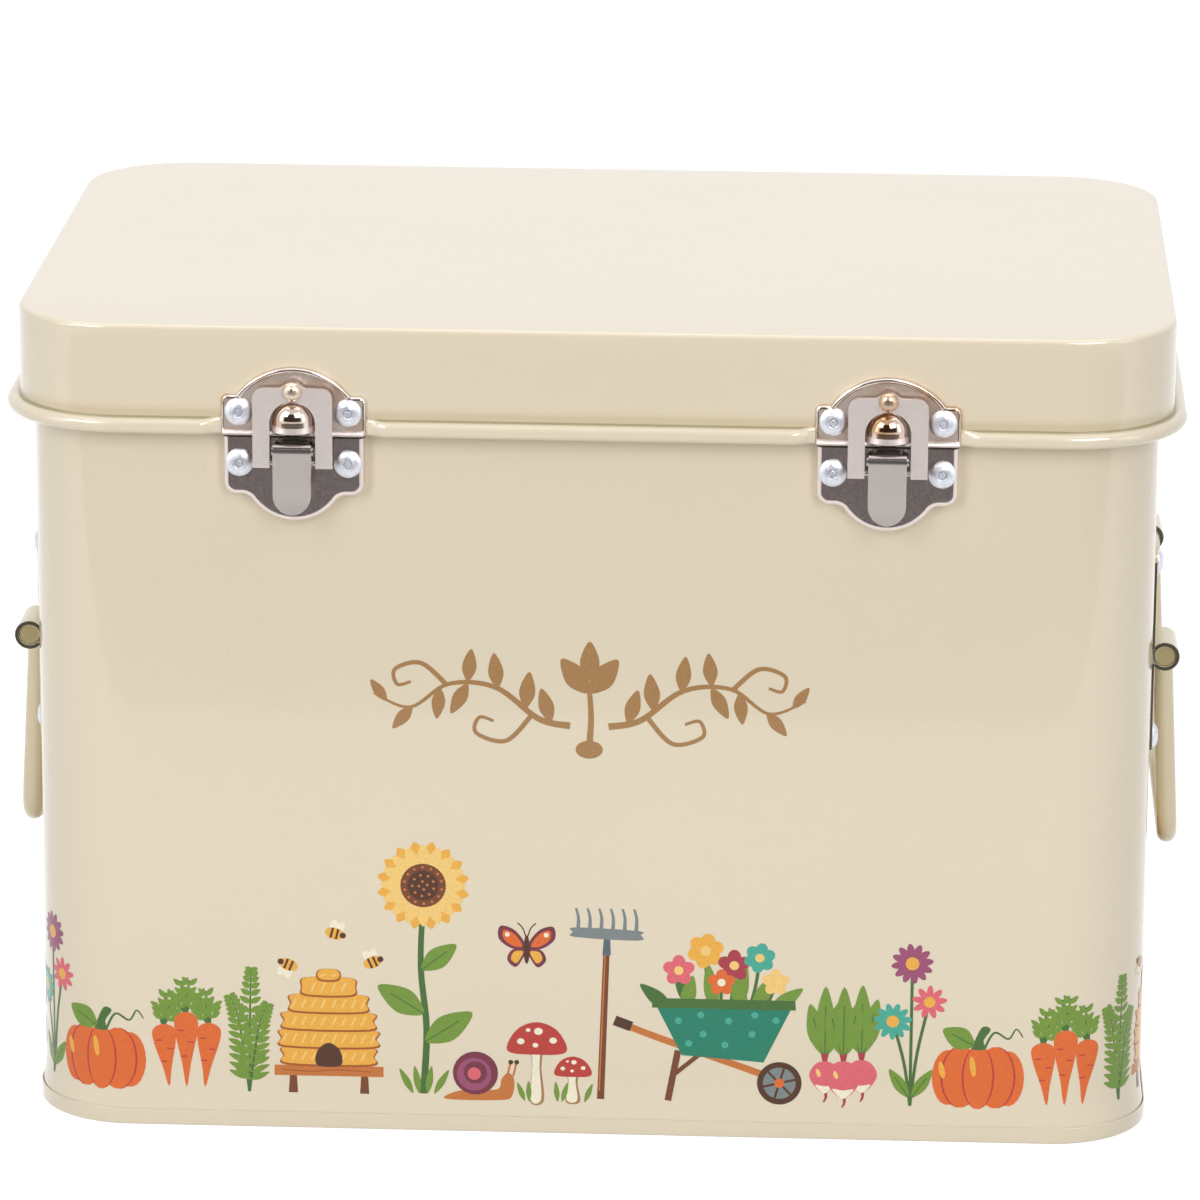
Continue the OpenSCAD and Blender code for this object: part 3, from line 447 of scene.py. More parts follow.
# %% [markdown]
# ## Metal
# The latches are nickel plated steel, some faces polished and some satin, and the rivets are bright
# aluminium. Real plating has a fine mottle where it was tumbled, hairline scratches, and patches of warm
# tarnish. These are one group, used with other values for each metal. A band of shade at a given height
# darkens the top of the lever, where it rolls round its pin.


# %% The metal group
TARNISH = linear(214, 176, 128)
PATCH_CONTRAST = 5.0
PATCH_SHIFT = -2.3
HAIR_STRETCH = 0.12


def make_metal_group():
    inputs = [("Colour", COLOUR, (0.6, 0.6, 0.6, 1))] + floats(
        Mottle_size=0.8,
        Mottle_amount=0.1,
        Roughness=0.2,
        Grain_depth=0.004,
        Grain_size=0.25,
        Warmth=0.0,
        Band_low=NOWHERE,
        Band_high=NOWHERE + 10,
        Band_shade=0.0,
    )
    tree, given, result = new_group("plated_surface", "ShaderNodeTree", inputs, SURFACE)
    place = object_place(tree)
    mottle = noise(tree, place, scale_for(tree, given["Mottle size"]), detail=3.0)
    band = height_mask(tree, place, given["Band low"], given["Band high"], fade_low=0.5, fade_high=0.15)
    lit = calc(tree, "SUBTRACT", 1.0, calc(tree, "MULTIPLY", band, given["Band shade"]))
    shade = calc(tree, "MULTIPLY", vary(tree, mottle, given["Mottle amount"], 1.0), lit)
    tone = add(tree, "ShaderNodeHueSaturation", Color=given["Colour"], Value=shade)
    stain = noise(tree, place, scale=110.0, detail=1.0)
    patch = calc(tree, "MULTIPLY_ADD", stain, PATCH_CONTRAST, PATCH_SHIFT, clamp=True)
    tarnish = add(tree, "ShaderNodeMix", {"data_type": "RGBA", "blend_type": "MULTIPLY"})
    fill(tree, tarnish.inputs["Factor"], calc(tree, "MULTIPLY", patch, given["Warmth"]))
    fill(tree, tarnish.inputs[6], tone.outputs["Color"])
    fill(tree, tarnish.inputs[7], TARNISH)
    stretch = add(tree, "ShaderNodeMapping", Vector=place, Scale=(1.0, 1.0, HAIR_STRETCH)).outputs[0]
    hair = noise(tree, stretch, scale_for(tree, given["Grain size"]), detail=2.0)
    rough = vary(tree, mottle, 0.12, given["Roughness"])
    return end_surface(tree, result, tarnish.outputs[2], rough, hair, given["Grain depth"])


metal_group = make_metal_group()
print("the metal group has", len(metal_group.nodes), "nodes")


# %% The metals
def metal(name, colour, Metallic=1.0, **finish):
    material, tree, shader = principled(name, Metallic=Metallic)
    cover(tree, shader, metal_group, Colour=linear(*colour), **finish)
    return material


SATIN = {"Metallic": 0.8, "Grain_depth": 0.003}
lever_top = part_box("lever_left")[1][2] / MM
BAND = {"Band_low": lever_top - 2.1, "Band_high": lever_top - 0.4, "Band_shade": 0.8}
TUMBLED = {"Mottle_size": 0.9, "Mottle_amount": 0.5, "Grain_depth": 0.06, "Grain_size": 0.8}
polished_nickel = metal("polished_nickel", (220, 210, 204), Roughness=0.11, Mottle_amount=0.05, Warmth=0.9)
# Dark nickel paints a dark reflection on the tub's latch plate and shade on the lever's roll.
dark_nickel = metal("dark_nickel", (186, 176, 174), Roughness=0.22, Mottle_amount=0.3, Mottle_size=0.45)
# Pale nickel paints a highlight on the plate's rolled rim and on the catch's lip and hood foot.
pale_nickel = metal("pale_nickel", (226, 215, 210), Roughness=0.4, **SATIN)
# Warm nickel paints a lighter, warmer reflection on the catch's flat face.
warm_nickel = metal(
    "warm_nickel", (226, 212, 202), Metallic=0.9, Roughness=0.34, Warmth=0.6, Mottle_amount=0.2
)
# This paints a warmer, darker reflection into the loop's dimple.
dimple_reflection_nickel = metal("dimple_reflection_nickel", (206, 191, 174), Roughness=0.28, Warmth=0.5)
hinge_nickel = metal("hinge_nickel", (214, 208, 204), Roughness=0.27, Warmth=0.16, Mottle_amount=0.12)
satin_nickel = metal("satin_nickel", (238, 228, 223), Roughness=0.42, **SATIN)
satin_lever = metal(
    "satin_lever", (232, 223, 219), Metallic=0.88, Roughness=0.36, Grain_depth=0.003, **BAND
)
pin_steel = metal("pin_steel", (176, 174, 172), Roughness=0.22)
rivet_metal = metal("rivet_aluminium", (214, 217, 225), Roughness=0.42, **TUMBLED)

# %% [markdown]
# ## Card stock
# The divider cards inside are matt coloured card: short pale fibres lie in the pulp, and the surface has a
# soft tooth instead of a gloss.


# %% Card material
def make_card_stock():
    material, tree, shader = principled("card_stock", Roughness=0.75)
    fibres = noise(tree, object_place(tree), scale=900.0, detail=4.0)
    shade = vary(tree, fibres, 0.25, 1.0)
    tone = add(tree, "ShaderNodeHueSaturation", Color=linear(150, 176, 168), Value=shade)
    bump = add(tree, "ShaderNodeBump", Strength=1.0, Distance=0.02 * MM, Height=fibres)
    tree.links.new(tone.outputs["Color"], shader.inputs["Base Color"])
    tree.links.new(bump.outputs["Normal"], shader.inputs["Normal"])
    return material


card_stock = make_card_stock()
print("finishes so far:", len(bpy.data.materials))

# %% [markdown]
# ## Giving the construction its finishes
# A piece of the frame keeps its mesh and place, and takes a finish by having its material swapped. The
# names in the frame say which finish each piece has.

# %% Finishes by name
FINISHES = {
    "tub_wall": tub_paint,
    "base_pan": tub_paint,
    "lid_shell": lid_paint,
    "partition": sheet_paint,
    "latch_base_": dark_nickel,
    "latch_catch_": polished_nickel,
    "lever_pin_": pin_steel,
    "lever_": satin_lever,
    "loop_pin_": pin_steel,
    "loop_": satin_nickel,
    "hinge_pin_": pin_steel,
    "hinge_": hinge_nickel,
    "handle_": handle_paint,
    "strap_": handle_paint,
    "card_": card_stock,
}


def finish_for(name):
    if name.endswith("rivets"):
        return rivet_metal
    return next(paint for start, paint in FINISHES.items() if name.startswith(start))


for name, piece in NODES.items():
    for place in piece.material_slots:
        place.material = finish_for(name)
print("finishes given to", len(NODES), "pieces")

# %% [markdown]
# ## Rounding the pressed metal
# The latch plates, levers, loops, straps and hinge leaves are cut and bent from sheet about a millimetre
# thick. The construction already has their big rolled edges, but a stamped part has no knife edges either,
# and the thin bright line along each small edge is what makes metal look solid. A Bevel modifier draws that
# line. It needs a clean mesh, so we work on a copy: its loose triangles are merged and flat areas are
# joined into single faces. A Weighted Normal modifier then keeps the big flat faces looking flat, and the
# result is kept as a plain mesh.


# %% A copy with rounded edges
def plain_result(maker, name):
    """The evaluated mesh of an object as a new plain object. The maker and its modifiers are removed."""
    view = bpy.context.evaluated_depsgraph_get()
    mesh = bpy.data.meshes.new_from_object(maker.evaluated_get(view))
    mesh.name = name
    bpy.data.objects.remove(maker)
    return new_object(name, mesh)


def opened(mesh, weld):
    """The mesh, open for editing, with points merged that lie closer than the weld in millimetres."""
    shape = bmesh.new()
    shape.from_mesh(mesh)
    bmesh.ops.remove_doubles(shape, verts=shape.verts, dist=weld * MM)
    return shape


def closed(shape, mesh):
    """Writes the edited shape into the mesh, smooth all over."""
    shape.to_mesh(mesh)
    shape.free()
    mesh.shade_smooth()
    return mesh


def rounded_copy(node, width, steps, flat_angle=0.5, corner_angle=38):
    shape = opened(NODES[node].data, 0.002)
    flat = math.radians(flat_angle)
    bmesh.ops.dissolve_limit(shape, angle_limit=flat, verts=shape.verts, edges=shape.edges)
    maker = new_object(node + "_maker", closed(shape, bpy.data.meshes.new(node + "_merged")))
    bevel = maker.modifiers.new("small_edges", "BEVEL")
    bevel.limit_method = "ANGLE"
    bevel.angle_limit = math.radians(corner_angle)
    bevel.width = width * MM
    bevel.segments = steps
    flats = maker.modifiers.new("keep_flats_flat", "WEIGHTED_NORMAL")
    flats.mode = "FACE_AREA"
    flats.weight = 90
    flats.thresh = 0.02
    return plain_result(maker, node + "_rounded")


def dress(piece, node, paint):
    """Gives a piece its finish, hides the construction node it stands for, and makes it ride where that
    does.
    """
    piece.data.materials.clear()
    piece.data.materials.append(paint)
    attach(piece, body_of(NODES[node])[0])
    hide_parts(node)


# %% Round each stamped piece
ROUNDED = {
    "latch_base_": (0.20, 3, "base_steel"),
    "latch_catch_": (0.16, 3, "catch_nickel"),
    "lever_": (0.20, 3, "lever_steel"),
    "loop_": (0.22, 3, "loop_nickel"),
    "strap_": (0.20, 2, "handle_enamel"),
    "hinge_tub_leaf_": (0.20, 2, "hinge_nickel"),
    "hinge_lid_leaf_": (0.20, 2, "hinge_nickel"),
    "partition": (0.25, 2, "partition_enamel"),
    "card_": (0.25, 2, "card_plastic"),
}
for name in list(NODES):
    start = next((s for s in ROUNDED if name.startswith(s)), None)
    if start is None or "pin" in name or "rivets" in name:
        continue
    width, steps, slot = ROUNDED[start]
    piece = rounded_copy(name, width, steps)
    dress(piece, name, finish_for(name))
    print(piece.name, "has", len(piece.data.polygons), "faces")

# %% [markdown]
# ## One piece, painted light and shade
# Some pieces take lit and shaded copies of their metal. The tub's latch plate has a dark, tumbled face, a
# painted dark reflection, inside a pale rolled rim painted as a highlight. The loop is satin, and the dimple
# that stiffens its top is painted a warmer, darker reflection. The catch's flat face takes a lighter, warmer
# painted reflection, its lip and hood foot a painted highlight, and the lever's roll a painted shade. A
# piece's faces can point to a second material, so each is picked out by where it lies.


# %% Second finishes on the latches
SEAM_Z = 170.875
LATCH_X = 68.5
CATCH_FACE_Y = -90.304
DIMPLE_Z = SEAM_Z + 11.26
DIMPLE_R = 2.5
DIMPLE_FLOOR_R = 1.6
HALF_LEVER_WELL = 5.2


def second_finish(name, paint, test):
    """Gives another finish to the faces whose middle, in millimetres, and direction pass the test."""
    piece = bpy.data.objects[name]
    piece.data.materials.append(paint)
    last = len(piece.data.materials) - 1
    count = 0
    for face in piece.data.polygons:
        if test(face.center / MM, face.normal):
            face.material_index = last
            count += 1
    return count


def on_rolled_rim(at, way):
    beside = at.z < SEAM_Z - 0.5 and abs(abs(at.x) - LATCH_X) > HALF_LEVER_WELL
    return way.y > -0.985 and (at.z < SEAM_Z - 9 or beside)


def on_catch_face(at, way):
    return way.y < -0.99 and abs(at.y - CATCH_FACE_Y) < 0.15


def on_catch_foot(at, way):
    on_lip = at.y < CATCH_FACE_Y - 0.05 and at.z < SEAM_Z + 1.65
    on_hood_foot = at.y < CATCH_FACE_Y - 0.9 and at.z < SEAM_Z + 3.0
    return on_lip or on_hood_foot


def on_lever_roll(at, way):
    return 0.03 < way.z < 0.93 and way.y < -0.1 and at.z > SEAM_Z - 3


def on_dimple(at, way):
    off = math.hypot(abs(at.x) - LATCH_X, at.z - DIMPLE_Z)
    return off < DIMPLE_R and way.y < 0 and (way.y > -0.99 or off < DIMPLE_FLOOR_R)


# Each second finish paints light or shade onto part of a piece: highlights, reflections and shade.
SECOND_FINISHES = (
    ("latch_base_", pale_nickel, on_rolled_rim),
    ("loop_", dimple_reflection_nickel, on_dimple),
    ("latch_catch_", warm_nickel, on_catch_face),
    ("latch_catch_", pale_nickel, on_catch_foot),
    ("lever_", dark_nickel, on_lever_roll),
)
for side in SIDES:
    for start, paint, test in SECOND_FINISHES:
        print(side, test.__name__, second_finish(start + side + "_rounded", paint, test))

# %% [markdown]
# ## The lid as a swept shell
# A tin lid is drawn from one sheet: a flat panel, a tight outer edge, a plain skirt, and a bead that is
# rolled at the lip to stiffen it. Every section through it is the same line, carried round a rectangle with
# round corners. So the shape is given as that line, in real millimetres, and a Geometry Nodes tree sweeps
# it: a rectangle curve is filleted, resampled and swept. The panel is closed afterwards, because a sweep
# leaves its middle open.


# %% The sweep tree
PLAN = floats(Width=0.2, Depth=0.1, Corner_radius=0.02) + [("Corner steps", WHOLE, 32)]
SHAPE = [("Geometry", GEOMETRY)]
SHAPE_IN = [("Geometry", GEOMETRY, None)]
FINISH = [("Finish", MATERIAL, None)]


def use_tree(obj, tree, **values):
    """Puts a tree on an object and sets its named inputs by their identifiers."""
    modifier = obj.modifiers.new(tree.name, "NODES")
    labels = {s.name: s.identifier for s in tree.interface.items_tree if s.in_out == "INPUT"}
    for label, value in values.items():
        modifier[labels[label.replace("_", " ")]] = value
    modifier.node_group = tree


def wall_line(tree, given):
    """The plan of the box as a curve: a rectangle with round corners, anticlockwise seen from above."""
    plan = add(tree, "GeometryNodeCurvePrimitiveQuadrilateral", Width=given["Width"], Height=given["Depth"])
    sizes = {"Count": given["Corner steps"], "Radius": given["Corner radius"]}
    return add(tree, "GeometryNodeFilletCurve", {"mode": "POLY"}, Curve=plan.outputs[0], **sizes).outputs[0]


def shape_of(tree, thing):
    return add(tree, "GeometryNodeObjectInfo", Object=thing).outputs["Geometry"]


def made_real(tree, geometry):
    return add(tree, "GeometryNodeRealizeInstances", Geometry=geometry).outputs[0]


def end_shape(tree, given, result, geometry):
    """Ends a tree: the shape takes the finish it was given."""
    done = add(tree, "GeometryNodeSetMaterial", Geometry=geometry, Material=given["Finish"])
    fill(tree, result["Geometry"], done.outputs[0])
    print("the tree", tree.name, "has", len(tree.nodes), "nodes")
    return tree


def swept(tree, curve, normal, profile, **more):
    """Sweeps a profile along a curve, whose normal is set first."""
    curve = add(tree, "GeometryNodeSetCurveNormal", {"mode": normal}, Curve=curve).outputs[0]
    return add(tree, "GeometryNodeCurveToMesh", Curve=curve, Profile_Curve=profile, **more).outputs[0]


def make_sweep_tree():
    inputs = PLAN + floats(Step=0.00125) + [("Profile", OBJECT, None)] + FINISH
    tree, given, result = new_group("swept_shell", "GeometryNodeTree", inputs, SHAPE)
    steps = {"Curve": wall_line(tree, given), "Length": given["Step"]}
    even = add(tree, "GeometryNodeResampleCurve", {"mode": "LENGTH"}, **steps).outputs[0]
    shell = swept(tree, even, "Z_UP", shape_of(tree, given["Profile"]))
    return end_shape(tree, given, result, made_real(tree, shell))


sweep_tree = make_sweep_tree()

# %% [markdown]
# ### The lid's section
# The line starts on the panel, drops a hair towards the edge as drawn sheet does, turns over the edge, runs
# down the skirt and round the bead, and comes back up inside. Outwards is measured from the skirt's outer
# face.


# %% The lid's section
LID_W = 270.0
LID_D = 180.0
LID_CORNER = 25.6
LID_TOP = 196.6
SHEET = 0.8
BEAD_OUT = 1.3
BEAD_Z = 172.9
BEAD_R = 1.8


def arc_points(centre, radius, start, end, count):
    """Points (outwards, up) along an arc, with angles in degrees."""
    turns = [math.radians(start + (end - start) * i / count) for i in range(count + 1)]
    return [(centre[0] + radius * math.cos(a), centre[1] + radius * math.sin(a)) for a in turns]


def lid_section():
    panel_in = -22.0
    panel_out = -18.0
    drop_in = -15.0
    drop = 0.18
    edge_r = 1.3
    neck_r = 0.25
    edge_middle = (-edge_r, LID_TOP - drop - edge_r)
    line = [(panel_in, LID_TOP), (panel_out, LID_TOP)]
    for i in range(7):
        share = i / 7
        line.append((drop_in + (-edge_r - drop_in) * share, LID_TOP - drop * share * share))
    line += arc_points(edge_middle, edge_r, 90, 0, 10)
    line += [(0.0, z) for z in (192.5, 188.0, 184.0, 180.5, 178.0, 176.4, 174.95)]
    touch = math.degrees(math.acos((-BEAD_OUT + neck_r) / (BEAD_R + neck_r)))
    neck_z = BEAD_Z + (BEAD_R + neck_r) * math.sin(math.radians(touch))
    line += arc_points((neck_r, neck_z), neck_r, 180, 180 + touch, 5)
    line += arc_points((BEAD_OUT, BEAD_Z), BEAD_R, touch - 6, -180, 30)
    line += [(-SHEET, z) for z in (174.2, 178.0, 184.0, 190.0)]
    line += arc_points(edge_middle, edge_r - SHEET, 0, 90, 6)
    return line + [(drop_in, LID_TOP - SHEET), (panel_in, LID_TOP - SHEET)]


LID_LINE = lid_section()
print("the lid's section has", len(LID_LINE), "points")


# %% Sweep the lid and close its panel
def line_object(name, points):
    """A curve of straight pieces through points in millimetres."""
    data = bpy.data.curves.new(name, "CURVE")
    data.dimensions = "3D"
    spline = data.splines.new("POLY")
    spline.points.add(len(points) - 1)
    for point, place in zip(spline.points, points):
        point.co = (*(c * MM for c in place), 1)
    return new_object(name, data)


def grown(name, tree, helper, **values):
    """Lets a tree make a mesh from nothing. The helper object it reads is removed afterwards."""
    maker = new_object(name + "_maker", bpy.data.meshes.new(name + "_maker"))
    use_tree(maker, tree, **values)
    made = plain_result(maker, name)
    bpy.data.objects.remove(helper)
    return made


def move_back(mesh):
    """Moves a mesh from the origin's plan to the box's, whose middle lies a little further back."""
    mesh.transform(Matrix.Translation((0, SHIFT_Y * MM, 0)))
    mesh.update()


def sweep(name, width, depth, corner, line, paint):
    """Sweeps a section round the box. The tree reads a curve's X as outwards and its Y as down."""
    section = line_object(name + "_section", [(out, -up, 0) for out, up in line])
    sizes = {"Width": width * MM, "Depth": depth * MM, "Corner_radius": corner * MM}
    more = {"Corner_steps": 40, "Step": 1.25 * MM, "Profile": section, "Finish": paint}
    made = grown(name, sweep_tree, section, **sizes, **more)
    move_back(made.data)
    return made


def close_and_face_out(mesh):
    shape = opened(mesh, 0.0005)
    rims = [edge for edge in shape.edges if edge.is_boundary]
    bmesh.ops.holes_fill(shape, edges=rims, sides=0)
    bmesh.ops.recalc_face_normals(shape, faces=shape.faces)
    closed(shape, mesh)


lid_skin = sweep("lid_skin", LID_W, LID_D, LID_CORNER, LID_LINE, lid_paint)
close_and_face_out(lid_skin.data)
print("the lid has", len(lid_skin.data.polygons), "faces")

# %% [markdown]
# ### Where the bead is pinched
# The latch plates and hinge leaves are riveted flat to the skirt, so the press squeezes the bead flat
# behind each of them first. The roll swells out again over a few millimetres on each side. Each of the
# bead's points is moved from the round section towards a flat one, by a share that fades with its distance
# from the plate.

# %% Pinch the bead
HINGE_X = 72.0
CATCH_HALF = 16.9
LEAF_HALF = 20.4
PINCH_FADE = 4.5
PINCH_TOP = 177
PINCH_REACH = BEAD_R + 0.9
PINCH_INNER = -1.1
HAIR = 0.01
FLAT_OUT = -0.1
FLAT_HALF_T = 0.7
FLAT_Z = 173.1
FLAT_HALF_H = 2.0


def pinch_share(x, on_front):
    centre = LATCH_X if on_front else HINGE_X
    half = CATCH_HALF if on_front else LEAF_HALF
    past = (abs(abs(x) - centre) - half) / PINCH_FADE
    ease = min(max(1 - past, 0), 1)
    return ease * ease * (3 - 2 * ease)


def pinch_bead(mesh):
    """Flattens the roll behind the plates. The skirt's inner face and what lies above the roll stay."""
    moved = 0
    for vertex in mesh.vertices:
        x, y, z = (c / MM for c in vertex.co)
        side = -1 if y < SHIFT_Y else 1
        out = abs(y - SHIFT_Y) - LID_D / 2
        share = pinch_share(x, side < 0)
        reach = math.hypot(out - BEAD_OUT, z - BEAD_Z)
        past_corner = abs(x) > LID_W / 2 - LID_CORNER
        away = out < PINCH_INNER or z > PINCH_TOP or reach > PINCH_REACH or past_corner
        on_inner_face = out < -SHEET + HAIR and z > BEAD_Z + 0.2
        if away or on_inner_face or share <= 0:
            continue
        turn = math.atan2(z - BEAD_Z, out - BEAD_OUT)
        flat = (FLAT_OUT + FLAT_HALF_T * math.cos(turn), FLAT_Z + FLAT_HALF_H * math.sin(turn))
        if reach > BEAD_R + HAIR:
            flat = (0.0, z)
        new_out = out + (flat[0] - out) * share
        new_y = SHIFT_Y + side * (LID_D / 2 + new_out)
        vertex.co = (x * MM, new_y * MM, (z + (flat[1] - z) * share) * MM)
        moved += 1
    mesh.update()
    return moved


print("pinched", pinch_bead(lid_skin.data), "points")

# %% [markdown]
# ### Painted shade in the crease
# The groove where the bead meets the skirt lies in shade, and that shade is painted: the faces in the
# groove take a darker, duller paint, except where the bead is pinched flat and has no groove.


# %% The crease
CREASE_LOW = 174.35
CREASE_HIGH = 174.95
CREASE_OUT = 0.42


def beyond(at, width, depth, corner):
    """How far a point, in millimetres, lies outside a plan of this size that has round corners."""
    over_x = abs(at.x) - (width / 2 - corner)
    over_y = abs(at.y - SHIFT_Y) - (depth / 2 - corner)
    return math.hypot(max(over_x, 0), max(over_y, 0)) + min(max(over_x, over_y), 0) - corner


def in_crease(at, way):
    pinched = abs(at.y) > LID_D / 2 - 2 and pinch_share(at.x, at.y < 0) > 0.6
    near = -0.1 < beyond(at, LID_W, LID_D, LID_CORNER) < CREASE_OUT
    return CREASE_LOW < at.z < CREASE_HIGH and near and not pinched


dress(lid_skin, "lid_shell", lid_paint)
print("faces in the crease:", second_finish(lid_skin.name, crease_shade_paint, in_crease))

# %% [markdown]
# ## Handles of bent wire
# Each handle is one steel wire, bent four times and sprung into its straps, and then enamelled with the
# box. A curve holds the line of the wire and a small tree sweeps a circle along it. The wire is cut with a
# shear before the bends are made. Its two ends turn inside the straps, so their paint is scratched to a
# dull khaki.

# %% The wire's line
WIRE_R = 2.4
WIRE_X = 134.8
PIVOT_Z = 113.0
HANDLE_HALF = 59.7
LEG_Y = 42.3
BAR_DROP = 51.2
TOP_BEND = 4.0
LOW_BEND = 7.0
REST = math.radians(3)


def wire_line(sign):
    """Half of the wire in the handle's own plane, mirrored to the other half, then leaning out at rest."""
    half = [(HANDLE_HALF, 0.0), (HANDLE_HALF - 0.25, 0.0), (54.0, 0.0), (50.0, 0.0)]
    half += arc_points((LEG_Y + TOP_BEND, -TOP_BEND), TOP_BEND, 90, 180, 12)
    half += [(LEG_Y, -16.0), (LEG_Y, -30.0)]
    half += arc_points((LEG_Y - LOW_BEND, LOW_BEND - BAR_DROP), LOW_BEND, 0, -90, 14)
    half += [(24.0, -BAR_DROP), (12.0, -BAR_DROP)]
    plane = half + [(0.0, -BAR_DROP)] + [(-y, z) for y, z in half[::-1]]
    lean, hang = math.sin(REST), math.cos(REST)
    return [(sign * (WIRE_X - z * lean), y + SHIFT_Y, PIVOT_Z + z * hang) for y, z in plane]


def make_wire_tree():
    inputs = [("Line", OBJECT, None), ("Sides", WHOLE, 36)] + floats(Radius=0.002) + FINISH
    tree, given, result = new_group("bent_wire", "GeometryNodeTree", inputs, SHAPE)
    round_wire = {"Resolution": given["Sides"], "Radius": given["Radius"]}
    ring = add(tree, "GeometryNodeCurvePrimitiveCircle", **round_wire).outputs[0]
    wire = swept(tree, shape_of(tree, given["Line"]), "MINIMUM_TWIST", ring, Fill_Caps=True)
    return end_shape(tree, given, result, made_real(tree, wire))


wire_tree = make_wire_tree()


# %% Bend the handles
def round_the_ends(mesh):
    """A small bevel round the two cut ends, and flat caps."""
    shape = opened(mesh, 0.001)
    rims = [edge for edge in shape.edges if any(len(face.verts) > 4 for face in edge.link_faces)]
    bmesh.ops.bevel(shape, geom=rims, offset=0.3 * MM, segments=2, profile=0.5, affect="EDGES")
    bmesh.ops.recalc_face_normals(shape, faces=shape.faces)
    closed(shape, mesh)


def on_wire_end(at, way):
    return abs(way.y) > 0.97 and abs(at.z - PIVOT_Z) < WIRE_R + 0.6


def on_ring_edge(at, way):
    return abs(way.y) > 0.8 and abs(at.z - PIVOT_Z) < WIRE_R + 1.3


worn_end = enamel("worn_khaki", (176, 162, 116), Roughness=0.5, Cloud_amount=0.5)
# The strap rings' end faces take a very dark olive paint.
dark_ring_end = enamel("dark_ring_end_olive", (62, 58, 40), Roughness=0.45, Cloud_amount=0.4)
for side, sign in SIDES.items():
    line = line_object("wire_line_" + side, wire_line(sign))
    sizes = {"Line": line, "Radius": WIRE_R * MM, "Sides": 36, "Finish": handle_paint}
    wire = grown("handle_" + side + "_wire", wire_tree, line, **sizes)
    round_the_ends(wire.data)
    dress(wire, "handle_" + side, handle_paint)
    ends = second_finish(wire.name, worn_end, on_wire_end)
    print(wire.name, "has", len(wire.data.polygons), "faces, of which", ends, "are at its ends")
    for end in ENDS:
        second_finish("strap_" + side + "_" + end + "_rounded", dark_ring_end, on_ring_edge)

# %% [markdown]
# ## The base seam
# The bottom panel of a can is closed over the wall's lower edge and rolled tight: a double seam. From
# outside, it is a band a few millimetres high. Its top edge is a small round fold, and between the fold and
# the wall runs a fine groove where the enamel doesn't reach. The groove's faces take a grey that is partly
# bare tinplate and partly painted shade. It is swept with the lid's tree from its own section.

# %% The seam's section
TUB_W = 263.2
TUB_D = 173.2
TUB_CORNER = 22.2
FOOT_OUT = 0.9
SEAM_OUT = 1.3
SEAM_H = 4.0
SEAM_EDGE_R = 0.5
FOLD_R = 0.17
PAN_TOP = 3.4
PAN_LOW = 2.6
PAN_IN = (-16.0, -8.0)
GROOVE = (3.1, 3.98)


def seam_section():
    """The pan's underside, its step down to the foot, the band, the fold and back over the pan."""
    line = [(out, PAN_LOW) for out in (*PAN_IN, -1.2)]
    line += arc_points((-1.1, 2.2), 0.4, 90, 0, 5)
    line += [(-0.7, 1.2)]
    line += arc_points((-0.4, 0.3), 0.3, 180, 270, 5)
    line += [(0.3, 0.0)]
    line += arc_points((SEAM_OUT - SEAM_EDGE_R, SEAM_EDGE_R), SEAM_EDGE_R, -90, 0, 7)
    line += [(SEAM_OUT, 1.6), (SEAM_OUT, 2.7), (SEAM_OUT, SEAM_H - 0.24)]
    line += arc_points((SEAM_OUT - FOLD_R, SEAM_H - FOLD_R), FOLD_R, 0, 180, 10)
    line += [(FOOT_OUT + 0.03, 3.4), (FOOT_OUT, 3.2), (FOOT_OUT, SHEET), (0.1, SHEET)]
    return line + [(out, PAN_TOP) for out in (0.1, *PAN_IN[::-1])]


def in_groove(at, way):
    out = beyond(at, TUB_W, TUB_D, TUB_CORNER)
    return GROOVE[0] < at.z < GROOVE[1] and FOOT_OUT - 0.1 < out < FOOT_OUT + 0.15


seam_skin = sweep("seam_skin", TUB_W, TUB_D, TUB_CORNER, seam_section(), tub_paint)
close_and_face_out(seam_skin.data)
dress(seam_skin, "base_pan", tub_paint)
# The groove's grey is partly bare tinplate and partly painted shade in the groove.
groove_tin_and_shade = metal("groove_tinplate_and_shade", (150, 156, 160), Metallic=0.5, Roughness=0.5)
count = second_finish("seam_skin", groove_tin_and_shade, in_groove)
print("the seam has", len(seam_skin.data.polygons), "faces, with", count, "in its groove")

# %% [markdown]
# ## Pop rivets
# Twenty-four pop rivets hold the latches, straps and hinges. Each has a smooth domed head. Pulling it
# leaves a ragged little crater in the middle with the snapped stub of the steel mandrel in it, and inside
# the box the other end is squeezed into a flat bulb. One head and one bulb are modelled, turned on a lathe
# in code. A Geometry Nodes tree puts them where the construction has its rivets, each spun by its own
# random angle, as a worker sets them.

# %% One head and one bulb
HEAD_R = 3.25
HEAD_H = 1.7
RIM_H = 0.45
CRATER_R = 1.35
LATHE_STEPS = 40
CRATER = [(1.2, 1.5), (1.08, 1.34), (1.0, 1.1), (0.92, 0.95), (0.8, 0.92), (0.74, 1.02)]
STUB = [(0.68, 1.2), (0.5, 1.24), (0.3, 1.18), (0.12, 1.22)]
BULB = [(1.9, 1.0), (2.3, 0.9), (2.4, 0.65), (2.4, 0.3), (2.2, 0.06), (1.8, 0.0), (0.4, -0.05)]


